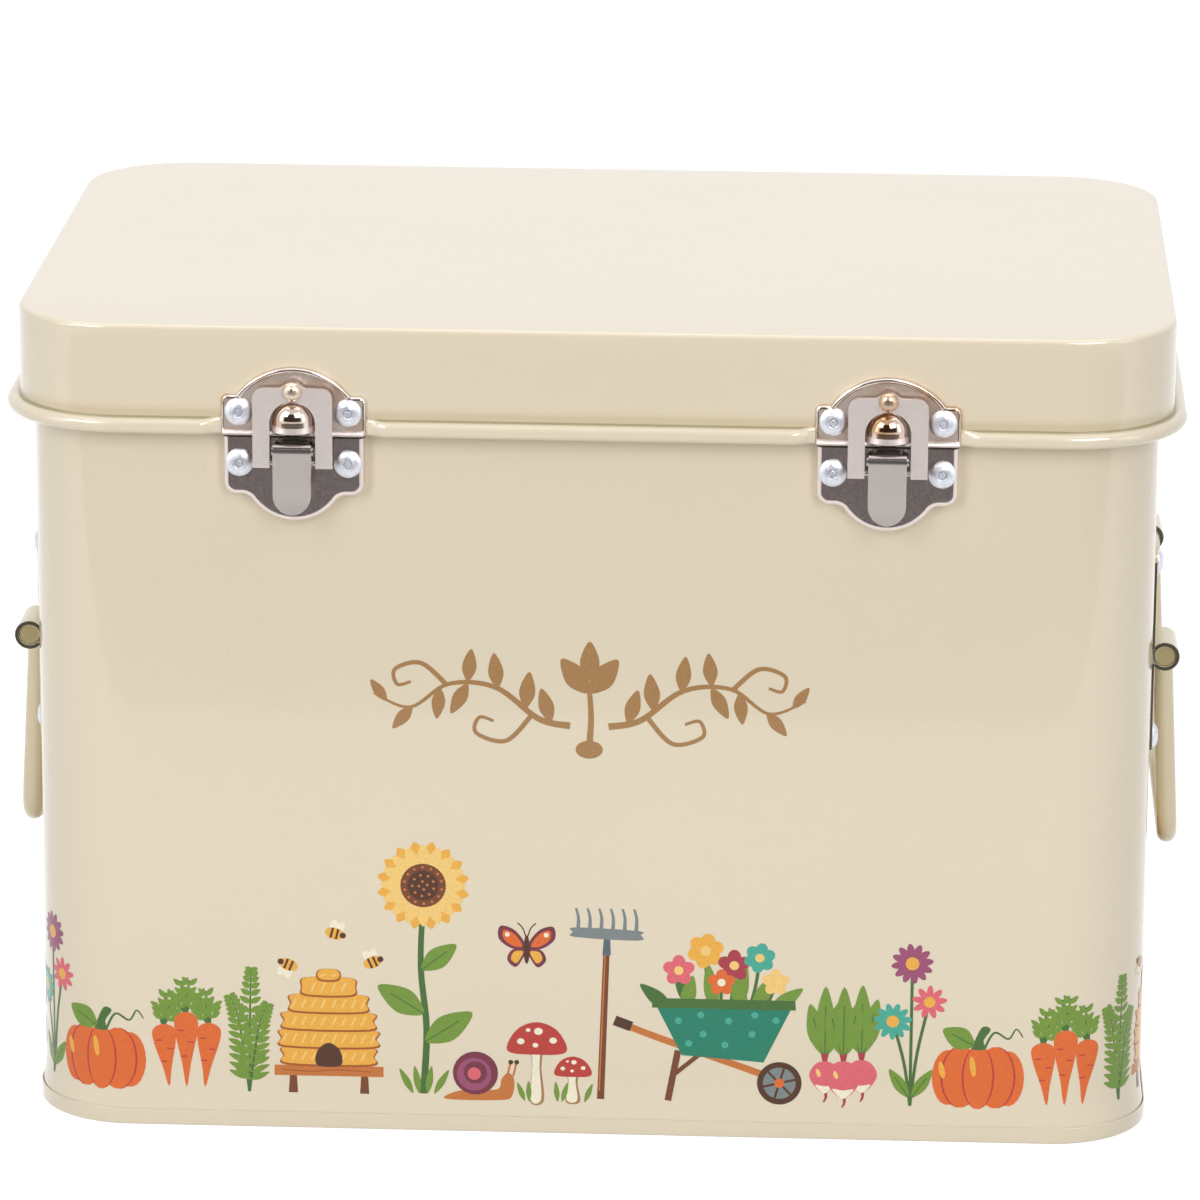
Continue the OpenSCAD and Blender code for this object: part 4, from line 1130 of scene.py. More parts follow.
def lathe(name, line, ragged=0.0):
    """Turns a line of (radius, height) about Z. Ragged shifts the points of the small radii a little."""
    shape = bmesh.new()
    rings = []
    for radius, height in line:
        ring = []
        for i in range(LATHE_STEPS):
            a = 2 * math.pi * i / LATHE_STEPS
            rough = ragged * (1 if 0.3 < radius < 1.45 else 0)
            wave = math.sin(3 * a + 9 * radius) + 0.6 * math.sin(7 * a + 2.3 + 5 * radius)
            r = radius + rough * 0.5 * wave
            place = (r * math.cos(a) * MM, r * math.sin(a) * MM, (height + rough * wave) * MM)
            ring.append(shape.verts.new(place))
        rings.append(ring)
    for low, high in zip(rings, rings[1:]):
        for i in range(LATHE_STEPS):
            j = (i + 1) % LATHE_STEPS
            shape.faces.new((low[i], low[j], high[j], high[i]))
    shape.faces.new(rings[0][::-1])
    shape.faces.new(rings[-1])
    bmesh.ops.recalc_face_normals(shape, faces=shape.faces)
    return new_object(name, closed(shape, bpy.data.meshes.new(name)))


def head_line():
    """The foot, the dome, which is part of a sphere, the crater and the stub in it."""
    cap_r = (HEAD_R**2 + HEAD_H**2) / (2 * HEAD_H)
    line = [(2.0, -0.5), (HEAD_R - 0.25, -0.02), (HEAD_R - 0.05, 0.04), (HEAD_R, 0.2)]
    for i in range(11):
        r = HEAD_R - (HEAD_R - CRATER_R) * (i / 10) ** 1.2
        dome = math.sqrt(cap_r**2 - r * r) - (cap_r - HEAD_H)
        line.append((r, RIM_H + dome * (HEAD_H - RIM_H) / HEAD_H))
    return line + CRATER + STUB


rivet_head = lathe("rivet_head_form", head_line(), ragged=0.05)
rivet_bulb = lathe("rivet_bulb_form", BULB)
print("a head has", len(rivet_head.data.polygons), "faces")

# %% [markdown]
# ### The tree that sets them
# Each point of a small mesh says where a rivet's head or bulb goes. Three attributes on it give the way out
# of the wall, the thickness, and whether it is a bulb. The tree reads them, turns each copy to face
# outwards and spins it.


# %% The rivet tree
MARKS = {"way": "FLOAT_VECTOR", "thick": "FLOAT", "is_bulb": "BOOLEAN"}


def make_rivet_tree():
    inputs = SHAPE_IN + [("Head", OBJECT, None), ("Bulb", OBJECT, None), ("Seed", WHOLE, 3)] + FINISH
    tree, given, result = new_group("set_rivets", "GeometryNodeTree", inputs, SHAPE)
    way, thick, is_bulb = (
        add(tree, "GeometryNodeInputNamedAttribute", {"data_type": kind}, Name=label).outputs[0]
        for label, kind in MARKS.items()
    )
    spin = add(tree, "FunctionNodeRandomValue", {"data_type": "FLOAT"}, Seed=given["Seed"])
    fill(tree, spin.inputs[2], 0.0)
    fill(tree, spin.inputs[3], 2 * math.pi)
    turn = add(tree, "FunctionNodeAxisAngleToRotation", Angle=spin.outputs[1]).outputs[0]
    aimed = add(tree, "FunctionNodeAlignRotationToVector", {"axis": "Z"}, Vector=way).outputs[0]
    both = add(tree, "FunctionNodeRotateRotation", {"rotation_space": "LOCAL"})
    both = in_order(tree, both, (aimed, turn))
    size = add(tree, "ShaderNodeCombineXYZ", X=1.0, Y=1.0, Z=thick).outputs[0]
    is_head = add(tree, "FunctionNodeBooleanMath", {"operation": "NOT"}, Boolean=is_bulb).outputs[0]
    join = add(tree, "GeometryNodeJoinGeometry")
    for label, chosen in (("Head", is_head), ("Bulb", is_bulb)):
        copies = {"Points": given["Geometry"], "Instance": shape_of(tree, given[label])}
        pose = {"Selection": chosen, "Rotation": both, "Scale": size}
        placed = add(tree, "GeometryNodeInstanceOnPoints", **copies, **pose)
        tree.links.new(placed.outputs[0], join.inputs[0])
    return end_shape(tree, given, result, made_real(tree, join.outputs[0]))


rivet_tree = make_rivet_tree()


# %% Find the rivets in the construction and set ours there
def loose_parts(mesh):
    """The lowest and highest corner of each separate part of a mesh, in a fixed order."""
    shape = opened(mesh, 0.002)
    left = set(shape.verts)
    found = []
    while left:
        group = [left.pop()]
        for vertex in group:
            for edge in vertex.link_edges:
                other = edge.other_vert(vertex)
                if other in left:
                    left.remove(other)
                    group.append(other)
        low, high = (Vector([pick(v.co[i] for v in group) for i in range(3)]) for pick in (min, max))
        found.append((low, high))
    shape.free()
    return sorted(found, key=lambda ends: tuple(ends[0]))


def rivets_in(node):
    """Where each rivet of a node is: its outward direction and the two ends along it, in metres."""
    rivets = []
    for low, high in loose_parts(NODES[node].data):
        middle = (low + high) / 2
        size = high - low
        axis = max((0, 1), key=lambda i: abs(size[i] - 2 * HEAD_R * MM))
        sign = 1 if middle[axis] > (SHIFT_Y * MM if axis else 0) else -1
        way = Vector([sign if i == axis else 0 for i in range(3)])
        rivets.append((way, middle + way * size[axis] / 2, middle - way * size[axis] / 2))
    return rivets


def set_rivets(node, bulb_h, seed):
    places = []
    marks = []
    for way, outer, inner in rivets_in(node):
        places += [outer - way * HEAD_H * MM, inner]
        marks += [(way, 1.0, False), (way, bulb_h, True)]
    mesh = bpy.data.meshes.new(node + "_points")
    mesh.from_pydata(places, [], [])
    for k, (label, kind) in enumerate(MARKS.items()):
        field = "vector" if kind == "FLOAT_VECTOR" else "value"
        mesh.attributes.new(label, kind, "POINT")
        for spot, mark in zip(mesh.attributes[label].data, marks):
            setattr(spot, field, mark[k])
    maker = new_object(node + "_maker", mesh)
    forms = {"Head": rivet_head, "Bulb": rivet_bulb, "Seed": seed, "Finish": rivet_metal}
    use_tree(maker, rivet_tree, **forms)
    dress(plain_result(maker, node + "_set"), node, rivet_metal)
    return len(marks) // 2


BULB_HEIGHTS = {
    "latch_base_rivets": 1.4,
    "latch_catch_rivets": 0.5,
    "strap_rivets": 1.4,
    "hinge_tub_rivets": 1.4,
    "hinge_lid_rivets": 0.5,
}
for seed, (node, bulb_h) in enumerate(BULB_HEIGHTS.items()):
    print(node, "holds", set_rivets(node, bulb_h, seed))
for form in (rivet_head, rivet_bulb):
    bpy.data.objects.remove(form)

# %% [markdown]
# ## The print
# Tins like this are decorated before they are formed: the flat sheet is printed with coloured enamel inks,
# varnished, and bent round the box afterwards, so the picture runs round all four sides. The drawing here
# is a row of garden things on a ground line. It is built as flat shapes in millimetres and wrapped round
# the wall by length, which is what bending does to a printed sheet.


# %% The inks and the drawing tools
INKS = {
    "leaf": (118, 152, 60),
    "dark_leaf": (74, 112, 54),
    "teal": (36, 130, 105),
    "orange": (228, 110, 50),
    "amber": (240, 178, 74),
    "honey": (246, 206, 124),
    "pink": (226, 106, 118),
    "rose": (172, 62, 76),
    "red": (190, 66, 58),
    "aqua": (74, 172, 152),
    "plum": (122, 54, 72),
    "mauve": (158, 82, 116),
    "slate": (128, 137, 138),
    "dark_slate": (92, 108, 116),
    "bark": (122, 70, 42),
    "wood": (202, 120, 60),
    "grain": (170, 92, 42),
    "earth": (84, 52, 36),
    "ivory": (246, 238, 214),
    "tan": (170, 130, 86),
}


def about(x, z, out, up, turn):
    """A point that lies (out, up) from (x, z), with that frame turned anticlockwise in degrees."""
    a = math.radians(turn)
    return (x + out * math.cos(a) - up * math.sin(a), z + out * math.sin(a) + up * math.cos(a))


def scaled(points, x, z, wide, tall):
    """A form in units of its own size, brought to (x, z)."""
    return [(x + out * wide, z + up * tall) for out, up in points]


def catmull_rom(p, t):
    """The point at a share t between the second and the third of four points."""
    shares = (
        (-t + 2 * t * t - t**3) / 2,
        (2 - 5 * t * t + 3 * t**3) / 2,
        (t + 4 * t * t - 3 * t**3) / 2,
        (t**3 - t * t) / 2,
    )
    return tuple(sum(share * q[axis] for share, q in zip(shares, p)) for axis in (0, 1))


def smooth_line(points, is_loop, steps=5):
    """A smooth line through the points."""
    count = len(points)
    line = []
    for i in range(count if is_loop else count - 1):
        around = [i + k for k in (-1, 0, 1, 2)]
        picked = [points[j % count if is_loop else min(max(j, 0), count - 1)] for j in around]
        line += [catmull_rom(picked, j / steps) for j in range(steps)]
    return line if is_loop else line + [points[-1]]


class Drawing:
    """Coloured outlines in millimetres. What is drawn later covers what lies under it."""

    def __init__(self):
        self.shapes = []
        self.at = (0.0, 0.0)

    def shape(self, ink, points):
        """One outline. It is stored anticlockwise, whichever way it was drawn."""
        pairs = zip(points, points[1:] + points[:1])
        twice_area = sum(p[0] * q[1] - q[0] * p[1] for p, q in pairs)
        ordered = points if twice_area > 0 else points[::-1]
        self.shapes.append((ink, [(self.at[0] + x, self.at[1] + z) for x, z in ordered]))

    def blob(self, ink, points, steps=5):
        self.shape(ink, smooth_line(points, True, steps))

    def oval(self, ink, x, z, half_w, half_h=None, turn=0, count=22):
        half_h = half_h or half_w
        turns = [math.tau * i / count for i in range(count)]
        self.shape(ink, [about(x, z, half_w * math.cos(a), half_h * math.sin(a), turn) for a in turns])

    def leaf(self, ink, x, z, length, width, turn, vein=None):
        """A pointed leaf that grows from (x, z). A turn of 0 points it right and 90 points it up."""
        form = [(0, 0), (0.2, 0.34), (0.45, 0.5), (0.75, 0.34), (1, 0)]
        rows = form + [(along, -side) for along, side in form[-2:0:-1]]
        self.blob(ink, [about(x, z, along * length, side * width, turn) for along, side in rows], 3)
        if vein:
            self.line(vein, [(x, z), about(x, z, 0.72 * length, 0, turn)], 0.28)

    def leaves(self, ink, x, z, length, width, turn, spread):
        """Two leaves that part to the left and right of a direction."""
        self.leaf(ink, x, z, length, width, turn + spread)
        self.leaf(ink, x, z, length, width, turn - spread)

    def grass(self, blades, length, width):
        """Blades that grow from the ground, each at its own x and turn."""
        for x, turn in blades:
            self.leaf("leaf", x, 0, length, width, turn)

    def line(self, ink, points, width, end_width=None, steps=5):
        """A ribbon along the smoothed points, which may taper to its end."""
        path = smooth_line(points, False, steps) if len(points) > 2 else points
        last = len(path) - 1
        left = []
        right = []
        for i, (x, z) in enumerate(path):
            before = path[max(i - 1, 0)]
            after = path[min(i + 1, last)]
            way = math.degrees(math.atan2(after[1] - before[1], after[0] - before[0]))
            half = (width + ((end_width or width) - width) * i / last) / 2
            left.append(about(x, z, 0, half, way))
            right.append(about(x, z, 0, -half, way))
        self.shape(ink, right + left[::-1])

    def flower(self, petal_ink, x, z, radius, petals, heart_ink, heart_r, turn, slim):
        for i in range(petals):
            way = turn + 360 * i / petals
            middle = about(x, z, radius * 0.55, 0, way)
            self.oval(petal_ink, *middle, radius * 0.5, radius * slim, way, 14)
        self.oval(heart_ink, x, z, heart_r, count=16)


print(len(INKS), "inks are mixed")

# %% [markdown]
# ### Vegetables
# Each thing stands on the ground line at height zero of its own little frame. The shapes are plain and
# rounded, with two or three inks each, as a few spot colours are all that such a print has.


# %% Carrots, radishes and a pumpkin
def draw_carrots(d):
    side = [(0, 0), (1.1, 0.34), (2.5, 0.7), (2.8, 0.93), (1.2, 1.03)]
    root = side + [(-out, up) for out, up in side[:0:-1]]
    for x, turn, tall in ((-4.2, 12, 15), (4.4, -11, 15.5), (0, 0, 18)):
        top = about(x, 0, 0, tall, turn * 0.4)
        for way in (68, 84, 97, 112):
            tip = about(*top, 10 - abs(way - 90) / 5, 0, way - turn)
            d.line("dark_leaf", [top, about(*top, 4, 0.4, way - turn), tip], 0.7, 0.35)
            for share in (0.35, 0.6, 0.85):
                spot = (top[0] + (tip[0] - top[0]) * share, top[1] + (tip[1] - top[1]) * share)
                d.leaves("leaf", *spot, 2.7, 1.3, way - turn, 42)
        d.blob("orange", [about(x, 0, out, up * tall, turn * 0.4) for out, up in root], 4)
        for side_of, up in ((-1, 0.78), (1, 0.62), (-1, 0.42)):
            start = about(x, 0, side_of * 2.4 * up**0.6, up * tall, turn * 0.4)
            d.line("red", [start, (start[0] - side_of * 1.5, start[1] + 0.1)], 0.35)


def draw_radishes(d):
    roots = ((-4.3, 6.0, 3.6), (4.4, 6.4, 3.7), (0.1, 5.4, 4.2))
    skin = [(0, -1.12), (1, 0), (0.5, 1), (-0.5, 1), (-1, 0)]
    tip = [(0, -1.12), (0.6, -0.55), (0, -0.62), (-0.6, -0.55)]
    for x, z, size in roots:
        for turn, length in ((77, 14), (104, 13), (90, 17)):
            d.line("rose", [(x, z + size), about(x, z + size, length * 0.5, 0, turn)], 0.9, 0.6)
            d.leaf("leaf", *about(x, z + size, 2.2, 0, turn), length, 4.6, turn, "dark_leaf")
    for x, z, size in roots:
        tail = [(x, z - size * 0.7), (x + 0.4, z - size - 1.2), (x - 0.2, z - size - 2.6)]
        d.line("rose", tail, 1.0, 0.3)
        d.blob("pink", scaled(skin, x, z, size, size))
        d.blob("ivory", scaled(tip, x, z, size, size))
        d.oval("honey", x - size * 0.42, z + size * 0.3, 0.5, 1.1, 20, 10)


def draw_pumpkin(d):
    d.line("dark_leaf", [(1, 14), (3.6, 19), (7, 17.5), (8.8, 20), (10.4, 18)], 0.6, 0.3)
    for x in (-7.1, 7.1):
        d.oval("orange", x, 7.6, 3.8, 6.9)
    for x in (-4.0, 4.0):
        d.oval("red", x * 1.1, 7.8, 4.5, 7.7)
        d.oval("orange", x, 7.8, 4.4, 7.7)
    d.oval("red", 0, 7.8, 3.9, 8.0)
    d.oval("orange", 0, 7.8, 3.4, 8.0)
    d.oval("amber", -1.3, 10.4, 0.7, 2.6, 8, 12)
    d.oval("amber", -8.6, 9.4, 0.7, 2.2, 12, 12)
    d.blob("dark_leaf", [(-1.6, 14.8), (1.6, 14.8), (1.1, 17), (2.8, 19.8), (0.8, 20.4), (-0.9, 17)], 3)
    d.leaf("leaf", -1.0, 15.6, 8.5, 5.6, 152, "dark_leaf")


# %% [markdown]
# ### Small creatures and a beehive
# These fill the row between the plants. The straw hive is a stack of rolls, as a real skep is coiled from
# straw rope.


# %% Beehive, snail, butterfly and bees
def draw_bee(d, x, z, turn):
    d.oval("ivory", *about(x, z, -0.4, 1.7, turn), 1.1, 1.7, turn + 22, 14)
    d.oval("ivory", *about(x, z, 0.9, 1.7, turn), 1.0, 1.6, turn - 22, 14)
    d.oval("amber", x, z, 2.3, 1.45, turn)
    for along in (-0.7, 0.6):
        d.line("earth", [about(x, z, along, -1.3, turn), about(x, z, along, 1.3, turn)], 0.55)
    d.oval("earth", *about(x, z, 2.0, 0, turn), 0.75, count=12)


def straw_roll(half_w, low, middle, high):
    """The outline of one roll. It is widest at its middle height."""
    inner = half_w - 1
    return [(-half_w, middle), (-inner, low), (inner, low), (half_w, middle), (inner, high), (-inner, high)]


def draw_hive(d):
    for x in (-8.5, 8.5):
        d.shape("bark", [(x - 1.1, 0), (x + 1.1, 0), (x + 0.8, 5), (x - 0.8, 5)])
    d.shape("wood", [(-13, 4.2), (13, 4.2), (13, 6.8), (-13, 6.8)])
    d.line("grain", [(-11, 5.6), (-4, 5.3), (2, 5.8), (10, 5.4)], 0.3)
    rolls = [(6.8, 10.9), (11.2, 11.4), (15.6, 10.8), (20.0, 9.2), (24.2, 6.6), (28.0, 3.0)]
    for z, half_w in rolls:
        tall = 4.7 if half_w > 3.5 else 3.0
        d.blob("grain", straw_roll(half_w, z, z + tall * 0.5, z + tall))
        d.blob("amber", straw_roll(half_w - 0.35, z + 0.5, z + tall * 0.55, z + tall))
        for k in range(int(half_w / 2.2)):
            for side in (-1, 1):
                x = side * (1.3 + 2.3 * k)
                d.line("honey", [(x - 0.5, z + 1.3), (x + 0.5, z + tall - 1.2)], 0.42)
    d.blob("earth", [(-2.8, 6.9), (2.8, 6.9), (2.7, 10.6), (0, 12.6), (-2.7, 10.6)], 4)
    for x, z, turn in ((10.5, 33.0, 24), (-9.5, 32.0, 158), (1.5, 40.0, -14)):
        draw_bee(d, x, z, turn)


def draw_snail(d):
    foot = [(-7.5, 0), (5.5, 0), (8.2, 1.2), (8.6, 5.2), (7.2, 6.8), (5.6, 5.2), (4.6, 2.6)]
    d.blob("wood", foot + [(-2, 2.4), (-6, 1.6)], 4)
    for x in (7.0, 8.4):
        d.line("wood", [(x, 6), (x + 0.7, 9.2)], 0.5)
        d.oval("earth", x + 0.8, 9.5, 0.6, count=10)
    d.oval("plum", -0.6, 6.6, 5.4)
    d.oval("mauve", -0.9, 6.3, 4.1)
    d.oval("plum", -0.6, 6.7, 2.8)
    d.oval("pink", -0.9, 6.4, 1.6, count=14)


def draw_butterfly(d):
    wing = (
        ("plum", [(0, 0.4), (2.6, 4.6), (6.2, 5.8), (6.6, 2.6), (3.4, 0.2)]),
        ("orange", [(1.0, 0.9), (2.9, 3.8), (5.4, 4.8), (5.5, 2.7), (3.3, 0.9)]),
        ("plum", [(0, 0.2), (3.4, -0.1), (4.6, -2.6), (2.6, -4.4), (0.8, -2.0)]),
        ("amber", [(0.9, -0.4), (3.0, -0.6), (3.7, -2.4), (2.4, -3.4), (1.2, -1.7)]),
    )
    for side in (-1, 1):
        for ink, points in wing:
            d.blob(ink, [(side * x, z) for x, z in points])
        d.oval("ivory", side * 4.6, 3.7, 0.6, count=10)
        d.line("earth", [(side * 0.2, 3.2), (side * 1.0, 5.4), (side * 2.2, 6.6)], 0.3)
    d.oval("earth", 0, 0, 0.75, 3.6, 0, 14)


# %% [markdown]
# ### Plants and tools
# A tall sunflower breaks the row's top edge, toadstools and ferns keep low, and a wheelbarrow full of
# flowers is the widest thing in it.


# %% Sunflower, fern, toadstools and daisies
def draw_sunflower(d):
    head = (0, 52)
    d.line("dark_leaf", [(0, 0), (0.8, 16), (-0.6, 32), (0, 48)], 1.7, 1.3)
    for place in ((0.5, 13, 13.5, 6.6, 34), (0.2, 20, 13.0, 6.4, 148), (-0.4, 31, 10.5, 5.2, 38)):
        d.leaf("leaf", *place, "dark_leaf")
    for ink, length, width, start in (("amber", 7.0, 4.0, 11), ("honey", 6.2, 3.2, 0)):
        for i in range(16):
            way = 22.5 * i + start
            d.leaf(ink, *about(*head, 4.0, 0, way), length, width, way)
    d.oval("bark", *head, 5.4, count=30)
    d.oval("earth", *head, 3.7, count=24)
    for ring, count in ((4.5, 14), (2.6, 9), (1.0, 4)):
        for i in range(count):
            d.oval("wood", *about(*head, ring, 0, 360 * i / count + 9 * ring), 0.34, count=8)
    d.grass(((-2.4, 118), (-0.9, 100), (1.0, 82), (2.6, 60)), 7.0, 1.7)


def draw_fern(d):
    for lean, tall in ((-1, 24), (0.15, 31), (1, 22)):
        spine = [(0, 0), (lean * 1.2, tall * 0.4), (lean * 2.6, tall * 0.78), (lean * 4.6, tall)]
        path = smooth_line(spine, False, 5)
        d.line("dark_leaf", spine, 0.7, 0.3)
        for i in range(2, len(path) - 1):
            x, z = path[i]
            way = math.degrees(math.atan2(path[i + 1][1] - z, path[i + 1][0] - x))
            d.leaves("leaf", x, z, 4.2 * (1 - i / len(path)) + 1.2, 1.5, way, 58)


def draw_toadstools(d):
    stem = [(-1.7, 0), (1.7, 0), (1.1, 0.6), (1.3, 1), (-1.3, 1), (-1.1, 0.6)]
    hat = [(-1, 0), (0, -0.12), (1, 0), (0.7, 0.75), (0, 1.05), (-0.7, 0.75)]
    dots = [(-0.55, 0.35, 0.13), (0.05, 0.72, 0.15), (0.55, 0.4, 0.13), (-0.05, 0.22, 0.1)]
    dots += [(-0.3, 0.76, 0.08)]
    for x, tall, cap in ((-3.4, 13.5, 7.0), (5.2, 7.4, 4.4)):
        low = tall - cap * 0.15
        d.blob("tan", scaled(stem, x, 0, 1, tall), 4)
        d.blob("ivory", scaled(stem, x - 0.2, 0.4, 0.74, tall), 4)
        d.blob("red", scaled(hat, x, low, cap, cap))
        for out, up, size in dots:
            d.oval("ivory", x + out * cap, low + up * cap, size * cap, size * cap * 0.85, count=12)
    d.grass(((-6.2, 112), (-5.2, 92), (1.6, 96), (2.6, 74), (8.0, 68)), 5.0, 1.3)


def draw_daisies(d):
    blooms = [(-4.4, 21, "aqua", 4.4, 11), (4.2, 26, "pink", 4.0, 9), (0.0, 35.5, "mauve", 4.8, 12)]
    for x, tall, *_ in blooms:
        d.line("dark_leaf", [(0, 0), (x * 0.35, tall * 0.5), (x, tall)], 0.75)
    for x, turn in ((-0.3, 124), (0.4, 56)):
        d.leaf("leaf", x, 2, 8.5, 3.0, turn, "dark_leaf")
    for x, tall, ink, size, petals in blooms:
        d.flower(ink, x, tall, size, petals, "amber", size * 0.34, 8, 0.2)


# %% Rake and wheelbarrow
BLOOMS = (
    (-9.5, 33, "pink", 3.7, 5),
    (-3.2, 38, "amber", 4.2, 6),
    (3.6, 34.5, "rose", 3.8, 5),
    (9.6, 36.5, "aqua", 3.6, 6),
    (0.6, 30.2, "orange", 3.2, 5),
    (13.4, 30.5, "honey", 3.2, 5),
)
SPRAYS = [(-11, 140, 10), (-6, 112, 12), (-1, 98, 12), (4, 78, 12), (8, 62, 11), (12, 38, 10)]
SPRAYS += [(-8, 78, 9), (6, 106, 9)]
DOTS = [(-9.5, 20.4), (-3.6, 17.2), (-4.2, 22), (2.4, 20.6), (1.6, 14.6), (8, 17.4), (8.6, 22.2)]
DOTS += [(13.6, 21), (-7, 14.8)]


def draw_rake(d):
    d.line("bark", [(0, 0), (1.2, 38)], 1.7, 1.5)
    d.line("wood", [(-0.35, 2), (0.85, 36)], 0.35)
    d.shape("dark_slate", [(0.2, 36), (2.2, 36), (2.0, 41), (0.6, 41)])
    d.blob("slate", [(-6.4, 40.4), (8.8, 39.8), (9.2, 41.2), (8.8, 42.2), (-6.4, 42.8), (-6.8, 41.6)], 3)
    for i in range(6):
        x = -5.6 + 2.75 * i
        d.line("slate", [(x, 42.0), (x + 0.1, 45.2), (x - 0.5, 47.6)], 0.95, 0.5, 3)


def draw_wheelbarrow(d):
    wheel = (14.6, 5.3)
    for x, z, *_ in BLOOMS:
        d.line("dark_leaf", [(x * 0.7, 22), (x * 0.9, (22 + z) / 2), (x, z)], 0.8)
    for x, way, long in SPRAYS:
        d.leaf("leaf" if way % 4 else "dark_leaf", x, 23, long, 3.6, way)
    for x, z, ink, size, petals in BLOOMS:
        heart = "ivory" if ink == "orange" else "honey"
        d.flower(ink, x, z, size, petals, heart, size * 0.3, 18, 0.42)
    d.line("wood", [(-23, 19.5), (-14, 16), (10, 7.6), (15, 5.4)], 1.7)
    d.line("earth", [(-24.6, 20.2), (-20.6, 18.7)], 2.5)
    d.line("bark", [(-9.5, 13), (-11.8, 0.4)], 1.6)
    d.line("bark", [(-4.5, 12), (-11.0, 6.4)], 1.1)
    d.shape("teal", [(-15, 24.6), (17.5, 24.6), (10.8, 10.4), (-8.6, 11.8)])
    d.shape("dark_leaf", [(-15.8, 23.6), (18.3, 23.6), (18.1, 26.0), (-15.6, 26.0)])
    for x, z in DOTS:
        d.oval("aqua", x, z, 0.85, count=12)
    d.oval("earth", *wheel, 5.3, count=30)
    d.oval("slate", *wheel, 3.9, count=26)
    for turn in (14, 74, 134):
        d.line("earth", [about(*wheel, -3.9, 0, turn), about(*wheel, 3.9, 0, turn)], 0.55)
    d.oval("orange", *wheel, 1.2, count=16)


# %% [markdown]
# ### The whole row
# The things are set out along one side of the box, a quarter of the way round it. Each has its distance
# from the middle and its height over the ground line, and the later ones lie on top.

# %% Set out the row
GROUND = 8.6
ROW = (
    (-95.5, 0.8, draw_carrots),
    (-80.5, 0, draw_fern),
    (-61.5, 0, draw_hive),
    (-39.0, 0.4, draw_sunflower),
    (-26.0, -0.8, draw_snail),
    (-8.6, -0.9, draw_toadstools),
    (3.2, 0, draw_rake),
    (31.0, -0.4, draw_wheelbarrow),
    (-14.5, 37, draw_butterfly),
    (60.6, 0.6, draw_radishes),
    (76.6, 0, draw_daisies),
    (92.6, -0.3, draw_pumpkin),
)
row = Drawing()
for x, z, draw in ROW:
    row.at = (x, GROUND + z)
    draw(row)
print("the row has", len(row.shapes), "shapes")

# %% [markdown]
# ### One film of ink
# Inks lie side by side on a tin and not in a stack, or the wall would be lumpy. So all shapes are cut
# against each other: the flat plane is divided along every outline, and each part takes the ink of the
# topmost shape over it. Extra cuts, close together, let the film bend round the corners and over the flare
# at the foot.


# %% Cut the shapes into a film
BEND_STEP = 1.7
FLARE_CUTS = (7, 8.5, 10, 11.5, 13, 14)
ASIDE = 0.013  # keeps the upright cuts off the outlines' own points
WELD = 1e-5


def ink_film(name, shapes, step=None, levels=()):
    """A flat mesh in X and Z. Cuts stand every step and lie at the levels, in millimetres."""
    points = []
    faces = []
    for ink, outline in shapes:
        faces.append(list(range(len(points), len(points) + len(outline))))
        points += outline
    low_x, low_z = (min(p[axis] for p in points) - 1 for axis in (0, 1))
    high_x, high_z = (max(p[axis] for p in points) + 1 for axis in (0, 1))
    cuts = [((low_x, z), (high_x, z)) for z in levels]
    for i in range(int((high_x - low_x) / step) + 1 if step else 0):
        x = low_x + ASIDE + i * step
        cuts.append(((x, low_z), (x, high_z)))
    edges = [(len(points) + 2 * i, len(points) + 2 * i + 1) for i in range(len(cuts))]
    flat = [Vector(p) for p in points + [end for cut in cuts for end in cut]]
    cut_points, _, parts, _, _, owners = delaunay_2d_cdt(flat, edges, faces, 1, WELD, True)
    inked = [(part, max(owner)) for part, owner in zip(parts, owners) if owner]
    mesh = bpy.data.meshes.new(name)
    mesh.from_pydata([(p.x * MM, 0, p.y * MM) for p in cut_points], [], [part for part, owner in inked])
    colours = []
    for part, owner in inked:
        colours += linear(*INKS[shapes[owner][0]]) * len(part)
    mesh.color_attributes.new("ink", "FLOAT_COLOR", "CORNER").data.foreach_set("color", colours)
    return mesh


row_film = ink_film("row_film", row.shapes, BEND_STEP, FLARE_CUTS)
print("one row has", len(row_film.polygons), "faces")

# %% [markdown]
# ### Ink as a finish
# The inks are printed on the cream enamel and varnished with it, so they share its gloss and its orange
# peel. Only the colour comes from the film, with the fine grain that a screen print shows.


# %% The ink material
VARNISH = {"Coat_Weight": 0.3, "Coat_Roughness": 0.06, "Coat_IOR": 1.45, "Specular_IOR_Level": 0.2}


def make_ink():
    material, tree, shader = principled("printed_ink", **VARNISH)
    colour = add(tree, "ShaderNodeAttribute", {"attribute_name": "ink"}).outputs["Color"]
    grain = noise(tree, object_place(tree), scale=2600.0, detail=1.0)
    shade = calc(tree, "MULTIPLY_ADD", grain, 0.30, 0.85)
    printed = add(tree, "ShaderNodeHueSaturation", Color=colour, Value=shade).outputs["Color"]
    cover(tree, shader, enamel_group, Colour=printed, Cloud_amount=0.06)
    return material


ink_finish = make_ink()
print("the ink is", ink_finish.name)

# %% [markdown]
# ### Round the wall
# The tree lays copies of the row end to end, then places every point by its distance along the wall: the
# flat sheet's X becomes a length along the box's plan, and its height stays. The film stands a few
# hundredths of a millimetre off the paint, and follows the flare at the wall's foot.

